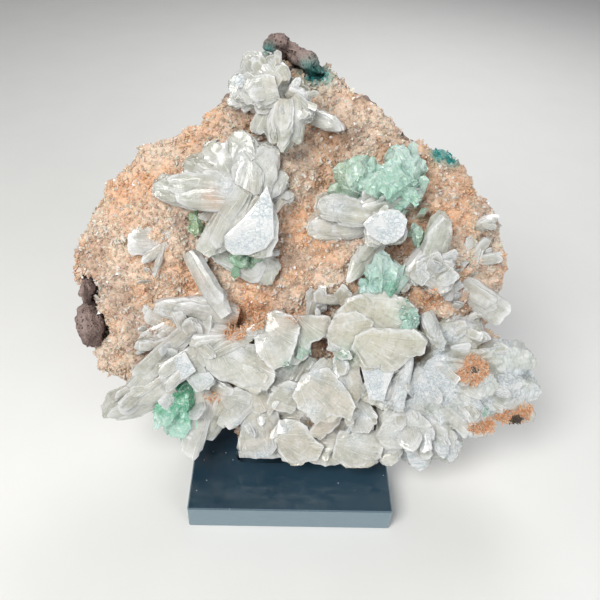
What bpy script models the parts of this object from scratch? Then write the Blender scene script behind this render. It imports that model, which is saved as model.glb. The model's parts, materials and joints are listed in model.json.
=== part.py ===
"""Apophyllite and stilbite cluster on basalt, standing in a slotted display block.

The specimen is a slab of brown basalt. Its front is coated with a druse of small peach crystals.
Sheaves and rosettes of white stilbite and clusters of green apophyllite grow on the druse. The
slab's foot stands in a slot that is cut in the top of the block, and the slab leans back.

Lengths are in metres in the scene and in millimetres in the tables, where MM turns one into the
other. The origin is the centre of the block's underside, with +X to the right, +Y to the back and
+Z up. Places on the specimen are (u, v, w): u to the right along the slab's face, v up the leaning
face from the slot, and w straight out of the face, towards the viewer.
"""

import math
import random

import bmesh
import bpy
from mathutils import Matrix, Vector, noise

MM = 0.001

# The display block and its slot
BLOCK_WIDTH = 80 * MM
BLOCK_DEPTH = 80 * MM
BLOCK_HEIGHT = 12 * MM
BLOCK_BEVEL = 0.5 * MM
SLOT_LENGTH = 46 * MM
SLOT_WIDTH = 8 * MM
SLOT_DEPTH = 6.5 * MM
SLOT_Y = -14 * MM
SLOT_END_STEPS = 8
SLOT_GAP = 0.4 * MM

# The slab
LEAN = math.radians(20)
SLAB_THICKNESS = 27
CRUST_THICKNESS = 6.5
CRUST_CELLS = 16
CRUST_JITTER = 0.42  # how far a cell's corner strays, in cells
CRUST_SEED = 16
PYRAMID_SEED = 4
BACK_INSET = -3  # the basalt ends this far inside the outline
BACK_JITTER = 0.5
BACK_SEED = 21
SLAB_CELLS = 8
GAP = 0.4
FOOT_RISE = 16
CLEAR_OF_BLOCK = 0.5

# Tables give places as they look from the eye on a plane READ_W in front of the slab's face.
EYE = (-7, 156, 232)
READ_W = 6

SLAB_CENTRE = (0, 72)
SLAB_OUTLINE = [
    (-9, 164), (-4, 160.5), (3, 155.5), (10, 151), (15, 147.5), (20, 143), (25, 142), (28.5, 138.5),
    (32, 134), (36, 130.5), (42, 128.5), (48, 127), (55, 125), (58.5, 121.5), (60, 118), (63.5, 112.5),
    (67, 109), (71, 105), (73, 99), (75.5, 93.5), (77, 88), (78, 82), (77, 76), (72, 70),
    (71, 64), (75, 57), (84, 54), (89, 50), (90.5, 43), (93, 36), (92, 29), (89, 24),
    (82, 21), (72, 15.5), (64, 10), (56, 5.5), (47, 3.5), (36, 3.5), (20, 3.5),
    (0, 3), (-12, 3), (-20, 3.5), (-21.5, 8), (-23, 14), (-30, 19), (-40, 23), (-50, 27),
    (-60, 30), (-66, 32), (-69, 36), (-75, 40), (-76, 45), (-75.5, 50), (-75.5, 57), (-77.5, 64),
    (-79, 72), (-83, 78), (-84, 83), (-80, 90), (-76, 95), (-73.5, 101), (-72, 107), (-68, 110),
    (-64.5, 113), (-62.5, 118), (-58, 122.5), (-52, 126.5), (-45, 128.5), (-40, 129.5),
    (-34, 133.5), (-30, 137.5), (-27, 141), (-25, 147), (-20, 154), (-15, 156.5), (-12, 160),
]

# Bare basalt that stands out of the druse: centre, half sizes and seed
ROCK_LUMPS = [
    ((-9.2, 160, -3), (4.6, 4.4, 9), 0, 5),
    ((-1.5, 156.2, -3), (9, 3.4, 9), -36, 3),
    ((-79, 57, -2), (5.2, 9.4, 10), 4, 7),
    ((-79.5, 70, -3), (2.8, 5, 8), 0, 9),
]

# Half widths of a crystal's outline, as (place along it, share of its width)
OUTLINES = {
    "point": [(0, 0.36), (0.35, 0.5), (0.8, 0.48), (1, 0.07)],
    "blunt": [(0, 0.4), (0.25, 0.5), (0.94, 0.5), (1, 0.38)],
    "round": [(0, 0.32), (0.5, 0.5), (0.86, 0.42), (1, 0.16)],
    "fan": [(0, 0.14), (0.6, 0.45), (0.9, 0.46), (1, 0.24)],
}

# Each stilbite crystal: base (u, v, w), tip (u, v, w), width, thickness, turn about its length in
# degrees, outline. Each group is one solid, with a low root that joins its crystals.
STILBITE = {
    "stilbite_top_rosette": [
        (-11, 146, 6), (9, 8, 5), [
            ((-12, 147, 8), (-25.5, 146, 5), 12, 6, 10, "round"),
            ((-11, 147, 8), (-20, 156, 3), 11, 6, -15, "round"),
            ((-10, 145, 7), (-26, 140.5, 3), 7, 5, 20, "round"),
            ((-8, 147, 9), (-12, 156, 5), 8, 5, 15, "round"),
            ((-9, 146, 12), (-19, 143, 12), 11, 4, -10, "round"),
            ((-9, 143, 8), (-17, 131, 5), 8, 4, 25, "round"),
            ((-7, 143, 10), (-11, 127.5, 10), 6.5, 4.5, -20, "point"),
            ((-6, 143, 11), (-6.5, 124.5, 12), 7, 5, 15, "point"),
            ((-4, 143, 10), (-2, 127.5, 10), 6.5, 5, -15, "round"),
            ((-4, 144, 9), (3, 135.5, 9), 6.5, 5, 10, "round"),
            ((-6, 146, 9), (2, 142, 7), 6, 4, 30, "round"),
        ],
    ],
    "stilbite_top_single": [
        (4, 138, 3), (3, 2.5, 3), [
            ((2, 138.5, 3), (15.5, 133.5, 8), 6, 4.5, 12, "point"),
        ],
    ],
    "stilbite_left_sheaf": [
        (-21, 110, 6), (8, 8, 6), [
            ((-20, 110, 10), (-52.5, 112, 9), 13, 6, 8, "round"),
            ((-20, 110, 9), (-41, 121.5, 6), 13, 5, -8, "round"),
            ((-20, 110, 9), (-33, 128, 5), 12, 5, 10, "round"),
            ((-19, 110, 11), (-21.5, 133, 6), 14, 5, -8, "round"),
            ((-18, 110, 11), (-10.5, 129, 6), 13, 5, 10, "round"),
            ((-17, 110, 10), (-4.5, 118, 6), 10, 5, -15, "round"),
            ((-20, 113, 12), (-34.5, 88, 10), 9.5, 6, 14, "blunt"),
            ((-15, 110, 6), (-2, 110, 6), 6, 4.5, -20, "round"),
            ((-12, 109, 12), (-19.5, 88, 16), 19, 4, 6, "fan"),
            ((-29, 92, 5), (-7, 81, 5), 13, 5, -6, "blunt"),
        ],
    ],
    "stilbite_left_tablet": [
        (-50, 91, 3), (4, 4, 3), [
            ((-46, 92.5, 3), (-62, 91.5, 6), 10, 4, 10, "blunt"),
            ((-48.5, 92, 5), (-52.7, 78, 8), 2.6, 2.4, 20, "point"),
        ],
    ],
    "stilbite_crossed_blades": [
        (-34, 68, 3), (12, 5, 4), [
            ((-22, 65, 5), (-54.5, 69, 8), 11, 6, -8, "round"),
            ((-39, 89, 4), (-26, 63.5, 13), 7, 5.5, 25, "blunt"),
        ],
    ],
    "stilbite_lower_left": [
        (-46, 40, 4), (10, 10, 6), [
            ((-42, 62, 2), (-59, 52, 4), 8, 5, 0, "blunt"),
            ((-38, 60, 7), (-65, 31, 8), 7, 6, 20, "blunt"),
            ((-46, 36, 6), (-76, 21.5, 9), 13.5, 7, -12, "point"),
            ((-50, 38, 8), (-70, 27, 10), 6, 5, 25, "round"),
            ((-36, 48, 10), (-52, 38, 15), 11, 4, 5, "blunt"),
            ((-41, 45, 10), (-33.5, 33.5, 14), 9, 4, -12, "blunt"),
            ((-33, 34, 5), (-42.5, 2.5, 12), 9.5, 7, 10, "blunt"),
            ((-26, 34, 5), (-35, 10, 9), 8, 6, -12, "blunt"),
            ((-33, 38, 6), (-24, 31, 10), 6, 4, 10, "blunt"),
        ],
    ],
    "stilbite_lower_mass": [
        (-2, 36, 5), (26, 17, 7), [
            ((-18, 57, 6), (-42, 60.5, 7), 5, 5, 10, "blunt"),
            ((-22, 52, 9), (-40, 50, 9), 14, 6, -6, "blunt"),
            ((-38, 50, 10), (-10.5, 37, 13), 14, 6, 8, "blunt"),
            ((-30, 50, 13), (-12, 61.5, 14), 5, 4, 15, "blunt"),
            ((-10, 67, 9), (-6, 43, 17), 15.5, 5, -8, "point"),
            ((-5, 60, 7), (14, 60, 9), 9, 5, 14, "round"),
            ((4.5, 63, 4), (5.5, 75, 5), 3.2, 3, 10, "blunt"),
            ((3, 73.5, 5), (17, 72, 6), 4, 3.5, -10, "blunt"),
            ((-12, 38, 6), (-30, 18, 8), 9, 6, 12, "blunt"),
            ((-13, 28, 6), (-15.5, 3.5, 9), 13, 6, -10, "blunt"),
            ((4, 30, 11), (-9, 36, 12), 7, 4, -10, "round"),
            ((-1, 22, 8), (3, -0.5, 12), 17, 7, 8, "round"),
            ((12, 42, 9), (13, 19, 17), 21, 6, -6, "round"),
            ((12, 47, 8), (4.5, 38, 13), 5, 4, 16, "point"),
            ((15, 48, 6), (20.5, 32, 13), 5.5, 4.5, -12, "point"),
            ((14, 52, 4), (25, 36, 8), 8, 4, 12, "blunt"),
            ((20, 24, 6), (11, 3, 11), 10, 5, 18, "blunt"),
            ((22, 34, 7), (31, 15, 11), 10, 5, -14, "round"),
            ((26, 20, 7), (27.5, -1.5, 13), 17, 6, 6, "blunt"),
            ((40, 16, 5), (40, -0.5, 10), 11, 6, 10, "round"),
            ((40, 28, 9), (42, 8, 14), 14, 6, -8, "blunt"),
        ],
    ],
    "stilbite_right_sheaf": [
        (24, 103, 5), (10, 7, 5), [
            ((26, 104, 10), (5, 108.5, 12), 10.5, 6, 12, "fan"),
            ((25, 103, 6), (2, 99, 6), 13, 6, -10, "round"),
            ((20, 105, 9), (43, 114, 8), 10, 6, 10, "round"),
            ((29, 108, 9), (32, 93.5, 14), 15, 4.5, -6, "blunt"),
        ],
    ],
    "stilbite_mid_blade": [
        (24, 91, 3), (4, 4, 3), [
            ((29, 97, 3), (17, 78.5, 9), 8.5, 5, 12, "point"),
        ],
    ],
    "stilbite_column": [
        (46, 86, 5), (9, 10, 5), [
            ((47, 82, 8), (51.5, 106, 13), 9.5, 7, 10, "round"),
            ((50, 96, 6), (41, 80, 12), 9, 6, -14, "blunt"),
            ((53, 92, 6), (52, 75, 12), 7, 5, 12, "blunt"),
            ((44, 90, 4), (37, 76, 8), 7, 5, 14, "blunt"),
            ((56, 86, 3), (56.5, 72, 6), 5, 4, -16, "blunt"),
        ],
    ],
    "stilbite_yellow_rosette": [
        (32, 60, 9), (13, 11, 7), [
            ((33, 60, 12), (12.5, 62, 10), 13, 5, 12, "fan"),
            ((33, 62, 12), (20, 74, 9), 13, 5, -10, "fan"),
            ((33, 60, 12), (15, 51.5, 10), 13, 5, -12, "fan"),
            ((33, 59, 13), (25.5, 44.5, 13), 12, 5, 12, "fan"),
            ((34, 59, 14), (38, 43.5, 14), 13, 5, -10, "fan"),
            ((34, 60, 14), (48.5, 53, 11), 13, 5, 12, "fan"),
            ((34, 62, 12), (34, 75, 9), 13, 5, 8, "fan"),
            ((34, 62, 12), (45.5, 68, 9), 12, 5, -10, "fan"),
        ],
    ],
    "stilbite_right_lobe": [
        (64, 34, 4), (20, 13, 6), [
            ((48, 68, 8), (57, 51.5, 14), 6.5, 5, -18, "point"),
            ((50, 62, 5), (72, 59.5, 5), 15, 7, 6, "round"),
            ((60, 50, 6), (93.5, 49.5, 3), 15, 8, -8, "round"),
            ((60, 44, 7), (97, 36, 3), 17, 8, 8, "round"),
            ((58, 36, 7), (96, 26, 3), 15, 8, -6, "round"),
            ((50, 50, 9), (80, 37, 10), 19, 7, 8, "round"),
            ((43, 43, 9), (79, 19, 8), 21, 8, -8, "round"),
            ((44, 34, 9), (67, 4.5, 7), 19, 8, 8, "round"),
            ((45, 28, 8), (54, -0.7, 8), 15, 7, -10, "round"),
            ((38, 47, 8), (31, 28, 14), 13, 4.5, 8, "blunt"),
            ((43, 50, 11), (41, 25.5, 17), 6, 4.5, -10, "blunt"),
        ],
    ],
    "stilbite_right_prism": [
        (62, 76, 1), (4, 4, 3), [
            ((60, 80, 0), (79.5, 66.5, 6), 11, 6, 8, "blunt"),
        ],
    ],
    "stilbite_edge_blade": [
        (65, 102, 0), (2.5, 2.5, 3), [
            ((62, 101.5, 0), (71.5, 105.5, 5), 5, 4, 12, "point"),
        ],
    ],
}

# Each apophyllite crystal: base, tip, width, turn. Blocky four-sided crystals with stepped ends.
APOPHYLLITE = {
    "apophyllite_upper_right": [
        (27, 117, 5), (13, 6, 5), [
            ((22, 115, 6), (14, 121, 12), 10, 15),
            ((21, 114, 7), (19, 125, 11), 9, 50),
            ((27, 113, 8), (23, 118, 14), 10, 30),
            ((32, 114, 7), (31, 120, 15), 13, 20),
            ((34, 116, 6), (33, 129, 10), 9, 10),
            ((36, 116, 5), (39, 126, 10), 9, 40),
            ((34, 112, 6), (41, 115, 11), 9, 25),
        ],
    ],
    "apophyllite_centre_right": [
        (31, 79, 6), (5, 4, 5), [
            ((31, 75, 8), (26, 86, 13), 6, 10),
            ((31, 75, 8), (30.5, 90.5, 14), 7, 35),
            ((32, 75, 8), (36, 87, 13), 7, 60),
            ((30, 78, 9), (25.5, 76, 13), 5, 25),
            ((32, 78, 9), (36, 76, 14), 5, 45),
        ],
    ],
    "apophyllite_lower_left": [
        (-44, 28, 3), (6, 8, 5), [
            ((-42, 38, 5), (-43, 22, 11), 9, 20),
            ((-44, 30, 6), (-52, 16, 12), 11, 35),
            ((-43, 28, 6), (-45, 11, 12), 11, 10),
            ((-45, 26, 5), (-55, 20, 9), 7, 50),
        ],
    ],
    "apophyllite_under_sheaf": [
        (-37, 100, 2), (3, 4, 3), [
            ((-38, 104, 2), (-36, 95, 7), 6, 20),
            ((-36, 106, 3), (-38, 100, 6), 6, 45),
        ],
    ],
    "apophyllite_below_sheaf": [
        (-22, 87, 8), (4, 3, 2.5), [
            ((-20, 92, 7), (-21, 83, 10.5), 8, 20),
        ],
    ],
    "apophyllite_centre": [
        (2, 50, 6), (3, 4, 4), [
            ((2, 55, 7), (5, 55, 11.5), 5, 10),
            ((1, 53, 7), (2, 48, 14.5), 6, 30),
            ((3, 52, 7), (5, 51, 12), 5, 50),
        ],
    ],
    "apophyllite_small_right": [
        (43, 67, 10), (3, 4, 3), [
            ((43, 64, 9), (44, 69, 16), 5, 20),
            ((43, 62, 9), (42, 63, 16), 6, 40),
        ],
    ],
    "apophyllite_slender": [
        (44, 94, 4), (2.5, 2.5, 2.5), [
            ((47, 90, 4), (40.5, 101.5, 10), 5.5, 20),
        ],
    ],
}

COLOURS = {
    "acrylic": ((0.05, 0.08, 0.13), 0.08),
    "basalt": ((0.16, 0.105, 0.09), 0.85),
    "druse": ((0.72, 0.46, 0.30), 0.5),
    "stilbite": ((0.72, 0.72, 0.66), 0.3),
    "apophyllite": ((0.36, 0.62, 0.47), 0.2),
}


def clear_scene():
    for obj in list(bpy.data.objects):
        bpy.data.objects.remove(obj, do_unlink=True)


def material(name):
    found = bpy.data.materials.get(name)
    if found:
        return found
    colour, roughness = COLOURS[name]
    made = bpy.data.materials.new(name)
    made.use_nodes = True
    shader = made.node_tree.nodes["Principled BSDF"]
    shader.inputs["Base Color"].default_value = (*colour, 1)
    shader.inputs["Roughness"].default_value = roughness
    shader.inputs["Metallic"].default_value = 0
    return made


def on_face(u, v, w):
    """The place in the scene, in metres, of a place on the leaning face in millimetres."""
    sin, cos = math.sin(LEAN), math.cos(LEAN)
    return Vector((
        u * MM,
        SLOT_Y + (v * sin - w * cos) * MM,
        BLOCK_HEIGHT + (v * cos + w * sin) * MM,
    ))


def along_sight(u, v, w):
    """Moves a place read on the plane READ_W along its line of sight, to the height w."""
    share = (EYE[2] - w) / (EYE[2] - READ_W)
    return EYE[0] + (u - EYE[0]) * share, EYE[1] + (v - EYE[1]) * share, w


def placed(point):
    return on_face(*along_sight(*point))


def object_from(bm, name, finish=None):
    """A new object that holds the bmesh. Without a finish it is a cutter, left out of renders."""
    bmesh.ops.recalc_face_normals(bm, faces=bm.faces)
    mesh = bpy.data.meshes.new(name)
    bm.to_mesh(mesh)
    bm.free()
    obj = bpy.data.objects.new(name, mesh)
    bpy.context.scene.collection.objects.link(obj)
    if finish:
        mesh.materials.append(material(finish))
    else:
        obj.hide_render = True
        obj.display_type = "WIRE"
    return obj


def combine(obj, others, operation):
    """Applies one Boolean of obj with all the others, and removes them."""
    group = bpy.data.collections.new("operands")
    bpy.context.scene.collection.children.link(group)
    for other in others:
        for home in list(other.users_collection):
            home.objects.unlink(other)
        group.objects.link(other)
    boolean = obj.modifiers.new("combine", "BOOLEAN")
    boolean.operand_type = "COLLECTION"
    boolean.collection = group
    boolean.operation = operation
    boolean.solver = "EXACT"
    graph = bpy.context.evaluated_depsgraph_get()
    result = bpy.data.meshes.new_from_object(obj.evaluated_get(graph))
    obj.modifiers.remove(boolean)
    obj.data = result
    for other in others:
        bpy.data.objects.remove(other, do_unlink=True)
    bpy.data.collections.remove(group)


def copy_of(obj):
    twin = bpy.data.objects.new(obj.name + "_copy", obj.data.copy())
    bpy.context.scene.collection.objects.link(twin)
    twin.hide_render = True
    return twin


def keep_largest(obj):
    """Drops the crumbs that a cut leaves, and the doubled points along it."""
    bm = bmesh.new()
    bm.from_mesh(obj.data)
    bmesh.ops.remove_doubles(bm, verts=bm.verts, dist=0.01 * MM)
    bmesh.ops.dissolve_degenerate(bm, edges=bm.edges, dist=0.005 * MM)
    unseen = set(bm.faces)
    pieces = []
    while unseen:
        stack = [unseen.pop()]
        piece = list(stack)
        while stack:
            for edge in stack.pop().edges:
                for face in edge.link_faces:
                    if face in unseen:
                        unseen.discard(face)
                        piece.append(face)
                        stack.append(face)
        pieces.append(piece)
    pieces.sort(key=lambda piece: sum(face.calc_area() for face in piece))
    bmesh.ops.delete(bm, geom=[face for piece in pieces[:-1] for face in piece], context="FACES")
    bm.to_mesh(obj.data)
    bm.free()


def slot_prism(bm, length, width, low, high):
    """A bar with round ends, lengthwise along X and centred over the slot."""
    radius = width / 2
    points = []
    for side, start in ((1, -90), (-1, 90)):
        for step in range(SLOT_END_STEPS + 1):
            angle = math.radians(start + 180 * step / SLOT_END_STEPS)
            x = side * (length / 2 - radius) + radius * math.cos(angle)
            points.append((x, SLOT_Y + radius * math.sin(angle), low))
    ring = [bm.verts.new(p) for p in points]
    face = bm.faces.new(ring)
    top = bmesh.ops.extrude_face_region(bm, geom=[face])
    lifted = [g for g in top["geom"] if isinstance(g, bmesh.types.BMVert)]
    bmesh.ops.translate(bm, verts=lifted, vec=(0, 0, high - low))


def build_block():
    bm = bmesh.new()
    bmesh.ops.create_cube(bm, size=1)
    bmesh.ops.scale(bm, verts=bm.verts, vec=(BLOCK_WIDTH, BLOCK_DEPTH, BLOCK_HEIGHT))
    bmesh.ops.translate(bm, verts=bm.verts, vec=(0, 0, BLOCK_HEIGHT / 2))
    bmesh.ops.bevel(
        bm, geom=bm.edges, offset=BLOCK_BEVEL, segments=1, affect="EDGES", profile=0.5, material=-1
    )
    block = object_from(bm, "display_block", "acrylic")
    cutter = bmesh.new()
    slot_prism(cutter, SLOT_LENGTH, SLOT_WIDTH, BLOCK_HEIGHT - SLOT_DEPTH, BLOCK_HEIGHT + SLOT_DEPTH)
    combine(block, [object_from(cutter, "slot_cutter")], "DIFFERENCE")
    return block


def outline_reach(angle, spare=0.0):
    """How far the slab reaches from its centre at this angle, and spare beyond that."""
    best = 0
    cu, cv = SLAB_CENTRE
    seen = [along_sight(u, v, 0) for u, v in SLAB_OUTLINE]
    points = [Vector((u - cu, v - cv)) for u, v, _ in seen]
    ray = Vector((math.cos(angle), math.sin(angle)))
    for a, b in zip(points, points[1:] + points[:1]):
        edge = b - a
        cross = ray.cross(edge)
        if abs(cross) < 1e-9:
            continue
        reach = a.cross(edge) / cross
        share = a.cross(ray) / cross
        if reach > 0 and -1e-6 <= share <= 1 + 1e-6:
            best = max(best, reach)
    return best + spare


def cap_points(cells, spare=0.0, jitter=0.0, seed=1):
    """A square net of points spread evenly inside the slab's outline: rows of (u, v, r), where r
    is 0 at the centre and 1 at the outline."""
    rng = random.Random(seed)
    rows = []
    for j in range(cells + 1):
        row = []
        for i in range(cells + 1):
            x, y = 2 * i / cells - 1, 2 * j / cells - 1
            inside = 0 < i < cells and 0 < j < cells
            if inside:
                x += rng.uniform(-jitter, jitter) / cells
                y += rng.uniform(-jitter, jitter) / cells
            dx, dy = x * math.sqrt(1 - y * y / 2), y * math.sqrt(1 - x * x / 2)
            r = min(math.hypot(dx, dy), 1)
            angle = math.atan2(dy, dx)
            reach = outline_reach(angle, spare) * (r if inside else 1)
            u = SLAB_CENTRE[0] + reach * math.cos(angle)
            v = SLAB_CENTRE[1] + reach * math.sin(angle)
            row.append((u, v, r))
        rows.append(row)
    return rows


def rolled(r, start):
    t = min(max((r - start) / (1 - start), 0), 1)
    return t * t * (3 - 2 * t)


def druse_height(u, v, r):
    """The front of the druse: gentle swells that roll back at the slab's edge."""
    swell = 3.2 * noise.noise(Vector((u / 34, v / 34, 0.3)))
    swell += 1.2 * noise.noise(Vector((u / 11, v / 11, 4.1)))
    edge = rolled(r, 0.84)
    return (4 + swell) * (1 - edge) - 1.2 * edge


def seam_height(u, v, r):
    """Where the druse ends and the basalt begins."""
    return 4 - CRUST_THICKNESS + 2 * noise.noise(Vector((u / 34, v / 34, 0.3))) - 3.6 * rolled(r, 0.84)


def back_height(u, v, r):
    """The back of the slab: a rough dome, thin at the foot and round the edge."""
    dome = math.sqrt(max(1 - r ** 2.6, 0))
    foot = rolled(min(max(v / 60, 0), 1), 0)
    rough = 2.6 * noise.noise(Vector((u / 17, v / 17, 9.2)))
    rough += 1.3 * noise.noise(Vector((u / 7, v / 7, 2.2)))
    return -8 - (SLAB_THICKNESS * (0.35 + 0.65 * foot) + rough * 1.4) * dome - rough * 0.4


def net(bm, rows, height, floor, lift=0.0):
    """Adds a net of quads at this height, clear of the block's top by floor. Returns its vertices
    in rows, and its faces."""
    verts = []
    for row in rows:
        line = []
        for u, v, r in row:
            place = on_face(u, v, height(u, v, r) + lift)
            place.z = max(place.z, BLOCK_HEIGHT + floor * MM)
            line.append(bm.verts.new(place))
        verts.append(line)
    faces = []
    for low, high in zip(verts, verts[1:]):
        for k in range(len(low) - 1):
            faces.append(bm.faces.new((low[k], low[k + 1], high[k + 1], high[k])))
    return verts, faces


def rim_of(verts):
    """The outer points of a net, in order round it."""
    right = [row[-1] for row in verts[:-1]]
    left = [row[0] for row in verts[:0:-1]]
    return verts[0][:-1] + right + verts[-1][:0:-1] + left


def close_rims(bm, fine, coarse):
    """Joins two rims, where the fine one has a whole number of points for each coarse one."""
    ratio = len(fine) // len(coarse)
    for k, vert in enumerate(coarse):
        after = coarse[(k + 1) % len(coarse)]
        start = k * ratio
        middle = start + (ratio + 1) // 2
        for n in range(start, start + ratio):
            corner = vert if n < middle else after
            bm.faces.new((fine[n], fine[(n + 1) % len(fine)], corner))
        bm.faces.new((vert, fine[middle % len(fine)], after))


def druse_front(bm):
    """Adds the druse's front: a net of cells, each raised to a small pyramid, but for the rim's."""
    points = cap_points(CRUST_CELLS, jitter=CRUST_JITTER, seed=CRUST_SEED)
    front, cells = net(bm, points, druse_height, 1.8)
    rng = random.Random(PYRAMID_SEED)
    rim = [cell for cell in cells if any(edge.is_boundary for edge in cell.edges)]
    for cell in cells:
        if cell in rim:
            continue
        height = rng.uniform(0.5, 2.4)
        raised = bmesh.ops.poke(bm, faces=[cell], offset=0, center_mode="MEAN")
        shift = on_face(rng.uniform(-0.9, 0.9), rng.uniform(-0.9, 0.9), height) - on_face(0, 0, 0)
        raised["verts"][0].co += shift
    bmesh.ops.triangulate(bm, faces=rim, quad_method="FIXED")
    return front


def crust_mesh():
    """The druse: a closed shell over the front of the slab."""
    bm = bmesh.new()
    front = druse_front(bm)
    back, _ = net(bm, cap_points(SLAB_CELLS), seam_height, 1.1, GAP)
    close_rims(bm, rim_of(front), rim_of(back))
    return bm


def slab_mesh():
    bm = bmesh.new()
    front, _ = net(bm, cap_points(SLAB_CELLS), seam_height, 1.1 - GAP)
    points = cap_points(SLAB_CELLS, BACK_INSET, BACK_JITTER, BACK_SEED)
    back, _ = net(bm, points, back_height, CLEAR_OF_BLOCK)
    close_rims(bm, rim_of(back), rim_of(front))
    return bm


def fattened(bm, by):
    """Moves every face of a closed mesh out by this much."""
    bmesh.ops.recalc_face_normals(bm, faces=bm.faces)
    bmesh.ops.triangulate(bm, faces=bm.faces, quad_method="FIXED")
    bm.normal_update()
    shifts = [vert.normal * min(vert.calc_shell_factor(), 2) * by * MM for vert in bm.verts]
    for vert, shift in zip(bm.verts, shifts):
        vert.co += shift
    return bm


def lump_mesh(centre, half, turn, seed, grow=0.0):
    """A knobbly lump of basalt."""
    bm = bmesh.new()
    bmesh.ops.create_icosphere(bm, subdivisions=2, radius=1)
    u, v, w = centre
    spin = Matrix.Rotation(math.radians(turn), 3, "Z")
    for vert in bm.verts:
        rough = 1 + 0.16 * noise.noise(vert.co * 1.7 + Vector((seed, 0, 0)))
        x, y, z = (vert.co[k] * (half[k] * rough + grow) for k in range(3))
        local = spin @ Vector((x, y, z))
        vert.co = on_face(u + local.x, v + local.y, w + local.z)
    return bm


def root_mesh(centre, half, grow=0.0):
    """The low root that joins the crystals of one group."""
    bm = bmesh.new()
    bmesh.ops.create_icosphere(bm, subdivisions=1, radius=1)
    u, v, w = along_sight(*centre)
    for vert in bm.verts:
        x, y, z = (vert.co[k] * (half[k] + grow) for k in range(3))
        vert.co = on_face(u + x, v + y, w + z)
    return bm


def crystal_axes(base, tip, turn):
    """Along, across and out of a crystal's broad face, as unit vectors."""
    along = (tip - base).normalized()
    out = on_face(0, 0, 1) - on_face(0, 0, 0)
    out = (out - along * out.dot(along)).normalized()
    out.rotate(Matrix.Rotation(math.radians(turn), 3, along))
    return along, out.cross(along), out


def blade_mesh(base, tip, width, thickness, turn, outline, grow=0.0):
    """One tabular stilbite crystal: its outline, drawn out to a broad face that is a little smaller."""
    base, tip = placed(base), placed(tip)
    along, across, out = crystal_axes(base, tip, turn)
    base, tip = base - along * grow * MM, tip + along * grow * MM
    length = (tip - base).length
    half = OUTLINES[outline]
    rim = [(t, -share) for t, share in half] + [(t, share) for t, share in reversed(half)]
    bm = bmesh.new()
    deep = (thickness / 2 + grow) * MM
    back = []
    for t, share in rim:
        aside = (share * width + math.copysign(grow, share)) * MM
        back.append(bm.verts.new(base + along * t * length + across * aside - out * deep))
    middle = base.lerp(tip, 0.5)
    face = bm.faces.new(back)
    drawn = bmesh.ops.extrude_face_region(bm, geom=[face])
    for vert in (g for g in drawn["geom"] if isinstance(g, bmesh.types.BMVert)):
        offset = vert.co - middle
        vert.co = (
            middle
            + along * offset.dot(along) * 0.95
            + across * offset.dot(across) * 0.8
            + out * deep
        )
    return bm


def stub_mesh(base, tip, width, turn, grow=0.0):
    """One blocky apophyllite crystal: a square prism with a stepped, smaller end."""
    base, tip = placed(base), placed(tip)
    along, across, out = crystal_axes(base, tip, turn)
    base, tip = base - along * grow * MM, tip + along * grow * MM
    length = (tip - base).length
    half = (width / 2 + grow) * MM
    bm = bmesh.new()
    rings = []
    for place, share in ((0, 0.75), (0.72, 1), (1, 0.55)):
        centre = base + along * place * length
        rings.append([
            bm.verts.new(centre + (across * x + out * y) * half * share)
            for x, y in ((-1, -1), (1, -1), (1, 1), (-1, 1))
        ])
    bm.faces.new(rings[0])
    bm.faces.new(rings[-1])
    for low, high in zip(rings, rings[1:]):
        for k in range(4):
            bm.faces.new((low[k], low[(k + 1) % 4], high[(k + 1) % 4], high[k]))
    return bm


def group_meshes(centre, half, crystals, make, grow=0.0):
    """Every mesh of one group: its root first, then its crystals."""
    yield root_mesh(centre, half, grow)
    for crystal in crystals:
        yield make(*crystal, grow)


def box_of(bm):
    low = Vector([min(v.co[k] for v in bm.verts) for k in range(3)])
    high = Vector([max(v.co[k] for v in bm.verts) for k in range(3)])
    return low, high


def meet(a, b):
    return all(a[0][k] < b[1][k] and b[0][k] < a[1][k] for k in range(3))


def build_group(name, finish, group, make, earlier, host):
    """Joins a group's crystals, then cuts them back from the druse and from earlier groups."""
    parts = [object_from(bm, name + "_piece") for bm in group_meshes(*group, make)]
    whole = parts[0]
    whole.name = name
    whole.hide_render = False
    whole.display_type = "TEXTURED"
    whole.data.materials.append(material(finish))
    combine(whole, parts[1:], "UNION")
    reach = (
        Vector([min(v.co[k] for v in whole.data.vertices) for k in range(3)]),
        Vector([max(v.co[k] for v in whole.data.vertices) for k in range(3)]),
    )
    cutters = [copy_of(host)]
    for other, other_make in earlier:
        for bm in group_meshes(*other, other_make, GAP):
            if meet(reach, box_of(bm)):
                cutters.append(object_from(bm, name + "_cutter"))
            else:
                bm.free()
    combine(whole, cutters, "DIFFERENCE")
    keep_largest(whole)
    whole.data.materials.clear()
    whole.data.materials.append(material(finish))
    return whole


def build_slab():
    slab = object_from(slab_mesh(), "basalt_slab", "basalt")
    lumps = [object_from(lump_mesh(*lump), "lump") for lump in ROCK_LUMPS]
    foot = bmesh.new()
    slot_prism(
        foot,
        SLOT_LENGTH - 2 * SLOT_GAP,
        SLOT_WIDTH - 2 * SLOT_GAP,
        BLOCK_HEIGHT - SLOT_DEPTH + SLOT_GAP,
        BLOCK_HEIGHT + FOOT_RISE * MM,
    )
    combine(slab, lumps + [object_from(foot, "foot")], "UNION")
    keep_largest(slab)
    return slab


def build_druse():
    crust = object_from(crust_mesh(), "peach_druse", "druse")
    lumps = [object_from(lump_mesh(*lump, GAP * 1.5), "lump_cutter") for lump in ROCK_LUMPS]
    foot = bmesh.new()
    slot_prism(
        foot,
        SLOT_LENGTH,
        SLOT_WIDTH,
        BLOCK_HEIGHT - SLOT_DEPTH,
        BLOCK_HEIGHT + (FOOT_RISE + 1) * MM,
    )
    combine(crust, lumps + [object_from(foot, "foot_cutter")], "DIFFERENCE")
    keep_largest(crust)
    return crust


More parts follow.
